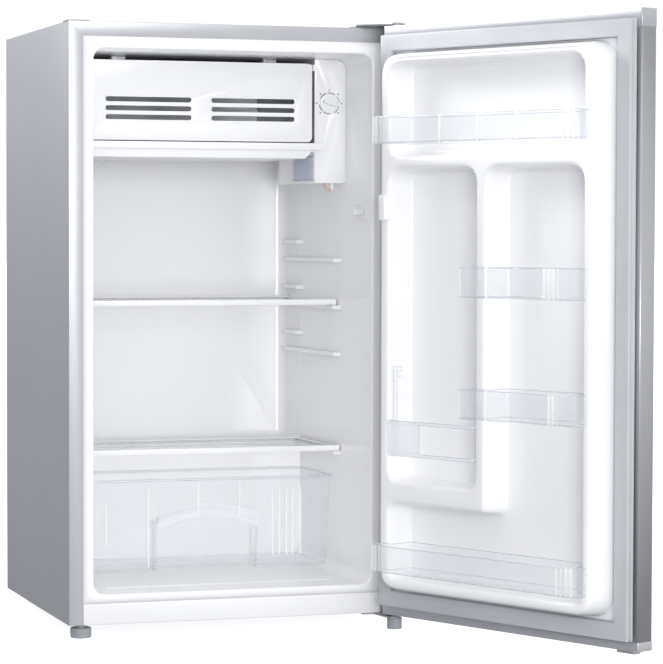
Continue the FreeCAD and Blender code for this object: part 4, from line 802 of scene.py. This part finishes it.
# %% The magnetic seal
u0, n0, z0, u1, n1, z1 = door_span("door_gasket")
SEAL_SECTION = (
    (0.6, 0.0), (0.0, 0.06), (0.0, 0.16), (0.9, 0.24), (2.6, 0.34), (2.8, 0.42), (1.2, 0.52),
    (0.5, 0.62), (0.4, 0.86), (1.1, 0.97), (2.6, 1.0), (12.0, 0.985), (20.6, 1.0), (22.4, 0.96),
    (23.2, 0.84), (23.0, 0.64), (21.6, 0.54), (20.4, 0.44), (21.2, 0.34), (23.2, 0.24),
    (24.0, 0.14), (23.8, 0.0),
)
rings = []
for inset, share in SEAL_SECTION:
    n = n0 + (n1 - n0) * share
    left, right, low, high = u0 + inset, u1 - inset, z0 + inset, z1 - inset
    rings.append([(left, n, low), (right, n, low), (right, n, high), (left, n, high)])
rings.append(rings[0])
points, faces = skin(rings, capped=False)
new_piece("door_seal", points, faces, door, "door", "gasket_grey", ["door_gasket"], 50)
print("seal", len(SEAL_SECTION), "points round its section")

# %% [markdown]
# # Clear bins
# Each bin is one clear moulding. Seen from above its outline is a trough that sits in the
# hollow, with a wider front that laps over the raised frame. The front of the wide bins is
# divided by upright seams, and the corner block is fluted so that a hand can grip it. Both
# are small waves in the outline. The small bins' fronts are a little hollow as well.

# %% The outline of a bin
HOLLOW_LEFT = {
    "top_bin": 50.0, "upper_small_bin": 233.0, "lower_small_bin": 233.0, "bottom_bin": 50.0,
}
LAP_N = 63.5
LEFT_GAP, RIGHT_GAP = 8.0, 17.0
SEAM_DEEP, SEAM_WIDE = 1.6, 1.6
FLUTE_DEEP, FLUTE_PITCH = 1.0, 3.6


def bin_outline(node, seams, flutes, hollow):
    """The outline of a bin from above, with its seams, flutes and hollow front."""
    u0, n0, z0, u1, n1, z1 = door_span(node)
    left_in = max(u0, HOLLOW_LEFT[node]) + LEFT_GAP
    right_in = u1 - RIGHT_GAP
    corners = (
        (left_in, n0, 6), (right_in, n0, 6), (right_in, LAP_N, 3), (u1, LAP_N, 3),
        (u1, n1, 8), (u0, n1, 8), (u0, LAP_N, 3), (left_in, LAP_N, 3),
    )
    shaped = rounded_outline(corners)
    for q in shaped:
        if q.y <= n1 - 1.0:
            continue
        for seam in seams:
            q.y -= SEAM_DEEP * math.exp(-((q.x - seam) / SEAM_WIDE) ** 2)
        for low, high in flutes:
            if low < q.x < high:
                wave = math.cos((q.x - low) / FLUTE_PITCH * 2 * math.pi)
                q.y -= FLUTE_DEEP * (0.5 - 0.5 * wave)
        low, high = u0 + 46, flutes[-1][0] - 4
        if hollow and low < q.x < high:
            q.y -= hollow * math.sin(math.pi * (q.x - low) / (high - low)) ** 2
    return shaped


print("bin outlines ready")

# %% [markdown]
# Rings of that outline at different heights and insets make the foot, the wall, the rim
# and the floor inside. Then the faces along the rim and the foot take the darker finish,
# partly painted shade, and those on seams, on every other flute strip and on the end tab
# take the brighter finish, a painted highlight.

# %% Bins
BIN_WALL = 2.0
FRONT_DEEP, TAB_DEEP, TAB_WIDE, SEAM_HALF = 4, 9, 1.5, 1.3
RIM_DEEP, FOOT_DEEP, FLAT_NORMAL = 1.5, 2.0, 0.95


def bin_shade_and_highlights(piece, node, seams, flutes):
    """Gives the rim and foot of a bin the darker finish, partly painted shade, and its seams,
    flutes and tab a painted highlight.
    """
    u0, n0, z0, u1, n1, z1 = door_span(node)
    piece.data.materials.append(finishes["clear_rim"])
    piece.data.materials.append(finishes["clear_bright"])
    for face in piece.data.polygons:
        u, n, z = on_door(face.center)
        in_front = n > n1 - FRONT_DEEP
        seam_highlight = any(abs(u - seam) < SEAM_HALF for seam in seams) and in_front
        every_other = int(u / (FLUTE_PITCH / 2)) % 2
        flute_highlight = any(a < u < b for a, b in flutes) and in_front and every_other
        tab_highlight = u < u0 + TAB_WIDE and n > n1 - TAB_DEEP
        foot_depth_and_shade = z < z0 + FOOT_DEEP and abs(face.normal.z) < FLAT_NORMAL
        edge_depth_and_shade = z > z1 - RIM_DEEP or foot_depth_and_shade
        # Painted highlight on seams, flutes and the tab; darker rim and foot, partly painted
        # shade.
        if seam_highlight or flute_highlight or tab_highlight:
            face.material_index = 2
        elif edge_depth_and_shade:
            face.material_index = 1


def clear_bin(node, seams, flutes, hollow):
    """A bin with a foot, a wall of even thickness, a round rim and a floor."""
    z0, z1 = door_span(node)[2::3]
    outline = bin_outline(node, seams, flutes, hollow)
    rings = []
    for inset, z in (
        (3.4, z0), (1.2, z0 + 0.7), (0.2, z0 + 2.6), (0.0, z1 - 1.2), (0.4, z1 - 0.2),
        (BIN_WALL / 2, z1), (BIN_WALL - 0.3, z1 - 0.2), (BIN_WALL, z1 - 1.2),
        (BIN_WALL + 0.2, z0 + 4.0), (BIN_WALL + 1.6, z0 + BIN_WALL),
    ):
        rings.append([(p.x, p.y, z) for p in drawn_in(outline, inset)])
    points, faces = skin(rings)
    name, body = node + "_moulding", node + "_body"
    piece = new_piece(name, points, faces, door, body, "clear_plastic", [node], 50)
    bin_shade_and_highlights(piece, node, seams, flutes)
    let_light_through(piece)


clear_bin("top_bin", (173.5, 243.6, 313.9), ((44, 66), (393, 414)), 0)
clear_bin("upper_small_bin", (262,), ((362, 388),), 7)
clear_bin("lower_small_bin", (262,), ((372, 388),), 7)
clear_bin("bottom_bin", (), ((44, 66), (386, 414)), 0)
print("bins moulded:", ", ".join(HOLLOW_LEFT))

# %% [markdown]
# # The drawer's grip and ribs
# The drawer is clear as well, and what makes it readable is an arched band over the grip,
# where its wall is thicker, and upright ribs on the front. The band is a flat arch between
# two curves, sunk a little into the front wall. The ribs are half-round bars in the
# brighter finish, which paints a highlight on them.

# %% The grip band and the ribs of the drawer
x0, y0, z0, x1, y1, z1 = cabinet_span("crisper_drawer")
GRIP_LEFT, GRIP_RIGHT, GRIP_SAG, GRIP_CROWN, GRIP_BAND = -73.0, 75.0, 17.0, 168.0, 19.0
ARCH_STEPS = 24
RIB_RADIUS = 1.1
BAND_PROUD, BAND_SUNK = 0.2, 0.8


def arch_z(share, crown):
    """Height of a curve with its crown in the middle, at a share of the way across."""
    return crown - GRIP_SAG * (2 * share - 1) ** 2


rings = []
for i in range(ARCH_STEPS + 1):
    share = i / ARCH_STEPS
    x = GRIP_LEFT + (GRIP_RIGHT - GRIP_LEFT) * share
    high, low = arch_z(share, GRIP_CROWN), arch_z(share, GRIP_CROWN - GRIP_BAND)
    front, back = y0 - BAND_PROUD, y0 + BAND_SUNK
    rings.append([(x, front, low), (x, back, low), (x, back, high), (x, front, high)])
points, faces = skin(rings)
band = new_piece(
    "drawer_grip_band", points, faces, cabinet, "crisper", "clear_plastic",
    smooth=30, finish="clear_dense",
)
let_light_through(band)
points, faces = [], []
FRONT_RIBS = [(-150, 0.30, 0.72), (-88, 0.06, 0.92), (-14, 0.55, 0.94), (48, 0.58, 0.94)]
FRONT_RIBS += [(x, 0.14, 0.86) for x in (98, 108, 119, 128, 140)]
for x, low, high in FRONT_RIBS:
    half_round = arc(x, y0 - 0.1, RIB_RADIUS, 0, -180)
    heights = [z0 + (z1 - z0) * share for share in (low, high)]
    add_skin(points, faces, [[(px, py, z) for px, py in half_round] for z in heights])
# The ribs take the brighter finish, a painted highlight.
drawer_ribs = new_piece(
    "drawer_front_ribs", points, faces, cabinet, "crisper", "clear_plastic",
    finish="clear_bright",
)
let_light_through(drawer_ribs)
print("drawer front with", len(FRONT_RIBS), "ribs")

# %% [markdown]
# A low ridge crosses the floor of the liner just behind the mouth. It stiffens the sheet
# and keeps drips from running out over the front.

# %% The drip ridge
RIDGE_LEFT, RIDGE_RIGHT, RIDGE_Y, RIDGE_R = -172.0, 158.0, 56.0, 2.2
RIDGE_SUNK, RIDGE_FLAT = 0.4, 0.7
rings = []
for x in (RIDGE_LEFT, RIDGE_RIGHT):
    foot_z = floor_z(RIDGE_Y) - RIDGE_SUNK
    rings.append([
        (x, RIDGE_Y + across, foot_z + RIDGE_FLAT * up)
        for across, up in arc(0, 0, RIDGE_R, 0, 180, 8)
    ])
points, faces = skin(rings)
new_piece("floor_ridge", points, faces, cabinet, "cabinet", "white_moulding")
print("ridge", round(RIDGE_RIGHT - RIDGE_LEFT), "mm long")

# %% [markdown]
# # The thermostat's scale
# The dial sits in a printed ring, broken into short arcs, with a tick for each setting
# and no words. The print is a skin of ink, so thin raised shapes stand for it.

# %% The printed ring and ticks
x0, y0, z0, x1, y1, z1 = cabinet_span("thermostat_dial")
dial_x, dial_z = (x0 + x1) / 2, (z0 + z1) / 2
dial_r = (z1 - z0) / 2
face_y = cabinet_span("control_box")[1]
PRINT_PROUD, PRINT_THICK = 0.15, 0.2
RING_IN, RING_OUT, TICK_IN, TICK_OUT, TICK_HALF = 0.5, 1.5, 3.6, 6.0, 2.2
SETTINGS, FIRST_SETTING, SETTING_STEP = 7, -135, 45
DOT_OUT, DOT_RADIUS, DIAL_DEEP = 0.72, 1.1, 8.0
grainy_finish("scale_ink", (0.10, 0.10, 0.11), 0.5, 0.1, 60.0, 900.0, 0.1)
points, faces = [], []


def add_patch(inner, outer, start, end):
    """A flat arc of ink between two radii and two angles."""
    front, back = face_y - PRINT_PROUD, face_y - PRINT_PROUD + PRINT_THICK
    steps = max(2, round(abs(end - start) / 4))
    rings = []
    for i in range(steps + 1):
        a = math.radians(start + (end - start) * i / steps)
        rings.append([
            (dial_x + rr * math.sin(a), yy, dial_z + rr * math.cos(a))
            for rr, yy in ((inner, front), (outer, front), (outer, back), (inner, back))
        ])
    add_skin(points, faces, rings)


for start, end in ((-62, -18), (-8, 34), (52, 84), (104, 150), (168, 214), (228, 262)):
    add_patch(dial_r + RING_IN, dial_r + RING_OUT, start, end)
for setting in range(SETTINGS):
    angle = FIRST_SETTING + setting * SETTING_STEP
    add_patch(dial_r + TICK_IN, dial_r + TICK_OUT, angle - TICK_HALF, angle + TICK_HALF)
new_piece(
    "thermostat_scale", points, faces, cabinet, "cabinet", "black_plastic",
    smooth=30, finish="scale_ink",
)
dial_face = y0 + DIAL_DEEP
circle = arc(dial_x + dial_r * DOT_OUT, dial_z - 1, DOT_RADIUS, 0, 337.5, 15)
points, faces = skin([[(x, dial_face - depth, z) for x, z in circle] for depth in (-0.1, 0.3)])
new_piece(
    "dial_pointer_dot", points, faces, cabinet, "dial", "black_plastic",
    smooth=30, finish="scale_ink",
)
print("dial radius", round(dial_r, 1), "mm")

# %% [markdown]
# # The lamp cover's ribs
# A lamp cover has a row of fine upright ribs that spread the light of the small bulb.

# %% Ribs on the lamp cover
x0, y0, z0, x1, y1, z1 = cabinet_span("lamp_lens")
RIB_PITCH, RIB_R = 4.4, 1.3
END_GAP, FOOT_GAP, RIB_SUNK = 3.0, 2.0, 0.2
points, faces = [], []
rib_count = 0
y = y0 + END_GAP
while y < y1 - END_GAP:
    half_round = arc(x0 + RIB_SUNK, y, RIB_R, 90, 270)
    heights = (z0 + FOOT_GAP, z1 - FOOT_GAP)
    add_skin(points, faces, [[(px, py, z) for px, py in half_round] for z in heights])
    rib_count += 1
    y += RIB_PITCH
new_piece("lamp_cover_ribs", points, faces, cabinet, "cabinet", "lens_plastic")
print("lamp cover with", rib_count, "ribs")

# %% [markdown]
# # What stays hidden
# The cabinet's foam and the tube that sheds heat inside the side wall are only seen if a
# panel is taken away. Their CAD form is right, so they keep it and only take their finish.
# The door's foam would show through the rounded corners of the moulding, so a copy that
# is drawn in by 2.5 mm stands for it.

# %% Foam, and finishes for the CAD nodes that stay
FOAM_SHRINK = 2.5
foam = eased_copy("door_foam", 0.4)
shrink = foam.modifiers.new("shrink", "DISPLACE")
shrink.strength, shrink.mid_level = -FOAM_SHRINK * MM, 0.0
for name, node in frame["nodes"].items():
    node.data.materials.clear()
    node.data.materials.append(finishes[slot_of[name]])
kept = [name for name, node in frame["nodes"].items() if not node.hide_render]
print("kept as they are:", kept)

# %% [markdown]
# # Floor, light and camera
# A white appliance needs light from all round, or its inside goes grey. The floor is pale,
# matt and glows a little, so that it ends up as bright as the white behind it. It is left
# out of reflections and of the light that bounces: else it would light the side panel from
# below. Shadows still fall on it.

# %% Floor
FLOOR_HALF = 40.0
FLOOR_GLOW = 0.75
floor_mesh = bpy.data.meshes.new("studio_floor")
floor_mesh.from_pydata(
    [(x * FLOOR_HALF, y * FLOOR_HALF, 0) for x, y in ((-1, -1), (1, -1), (1, 1), (-1, 1))],
    [], [(0, 1, 2, 3)],
)
floor = bpy.data.objects.new("studio_floor", floor_mesh)
bpy.context.scene.collection.objects.link(floor)
floor_mesh.materials.append(grainy_finish(
    "studio_paper", (0.93, 0.93, 0.935), 0.8, 0.004, 1.0, 200.0, 0.02,
    Emission_Color=(1, 1, 1, 1), Emission_Strength=FLOOR_GLOW,
))
floor.visible_glossy = False
floor.visible_diffuse = False
print("floor", round(2 * FLOOR_HALF), "m wide")

# %% [markdown]
# The camera sees a plain white sky. All other rays see a soft gradient instead: bright on
# the side of the front right and above, darker at the back and below. It gives the
# painted side its fall from light to dark, which a white sky would wash out.

# %% Sky
BRIGHT_SIDE = (0.38, -0.78, 0.50)
DARK_TONE, LIGHT_TONE, SEEN_TONE = (0.42, 0.43, 0.46, 1), (1.1, 1.1, 1.11, 1), (1.2, 1.2, 1.2, 1)
SKY_STRENGTH = 0.88
world = bpy.data.worlds.new("studio")
bpy.context.scene.world = world
world.use_nodes = True
sky = world.node_tree
background = sky.nodes["Background"]
rays = add_node(sky, "ShaderNodeLightPath")
place = add_node(sky, "ShaderNodeTexCoord")
facing = add_node(sky, "ShaderNodeVectorMath", operation="DOT_PRODUCT")
facing.inputs[1].default_value = BRIGHT_SIDE
lift = add_node(sky, "ShaderNodeMapRange")
lift.inputs["From Min"].default_value = -0.3
lift.inputs["From Max"].default_value = 0.8
shade = add_node(sky, "ShaderNodeValToRGB")
low_tone, high_tone = shade.color_ramp.elements
low_tone.color, high_tone.color = DARK_TONE, LIGHT_TONE
choose = add_node(sky, "ShaderNodeMix", data_type="RGBA")
sky.links.new(place.outputs["Generated"], facing.inputs[0])
sky.links.new(facing.outputs["Value"], lift.inputs["Value"])
sky.links.new(lift.outputs["Result"], shade.inputs["Fac"])
sky.links.new(rays.outputs["Is Camera Ray"], choose.inputs[0])
sky.links.new(shade.outputs["Color"], choose.inputs[6])
choose.inputs[7].default_value = SEEN_TONE
sky.links.new(choose.outputs[2], background.inputs["Color"])
background.inputs["Strength"].default_value = SKY_STRENGTH
print("sky of strength", SKY_STRENGTH)

# %% [markdown]
# Four soft boxes add direction. A faint one stands high at the front left. One beside the
# camera reaches into the cabinet. One behind on the left lights the upper part of the side
# panel. A very large one hangs above. Places and aims are in the cabinet's axes.

# %% Soft boxes


def soft_box(name, place, aim, width, height, power):
    """An area light of a size in metres, a power in watts, turned to a point."""
    light = bpy.data.lights.new(name, "AREA")
    light.shape = "RECTANGLE"
    light.size, light.size_y, light.energy = width, height, power
    holder = bpy.data.objects.new(name, light)
    holder.location = place
    holder.rotation_euler = (Vector(aim) - Vector(place)).to_track_quat("-Z", "Y").to_euler()
    bpy.context.scene.collection.objects.link(holder)


soft_box("key_box", cabinet(-1500, -2300, 2000), cabinet(0, 100, 450), 1.6, 1.6, 0.8)
soft_box("fill_box", cabinet(-430, -3000, 600), cabinet(-20, 300, 450), 1.0, 1.0, 35)
soft_box("side_box", cabinet(-1050, 900, 1650), cabinet(-236, 150, 820), 0.7, 0.7, 38)
soft_box("top_box", cabinet(-200, -200, 2700), cabinet(-200, -190, 0), 3.0, 3.0, 12)
print("lights placed")

# %% [markdown]
# The camera stands almost four metres away at mid height, a little to the left, with a
# long lens. The Standard view keeps whites white.

# %% Camera
CAMERA_PLACE = (-1081.5, -3633.93, 566.5)
HEADING, LOOK_DOWN, ROLL_ANGLE = -18.28, 2.32, 0.15
camera_data = bpy.data.cameras.new("camera")
camera_data.lens = 147.99
camera_data.sensor_width = 36.0
camera_data.shift_x, camera_data.shift_y = 0.02297, 0.0075
camera = bpy.data.objects.new("camera", camera_data)
camera.location = cabinet(*CAMERA_PLACE)
heading = Matrix.Rotation(math.radians(HEADING), 4, "Z")
pitch = Matrix.Rotation(math.radians(90 - LOOK_DOWN), 4, "X")
roll = Matrix.Rotation(math.radians(ROLL_ANGLE), 4, "Z")
camera.rotation_euler = (heading @ pitch @ roll).to_euler()
bpy.context.scene.collection.objects.link(camera)
bpy.context.scene.camera = camera
bpy.context.scene.view_settings.view_transform = "Standard"
print("camera at", [round(v, 2) for v in camera.location])

# %% [markdown]
# Last, the scene is brought up to date.

# %% A last update of the scene
bpy.context.view_layer.update()
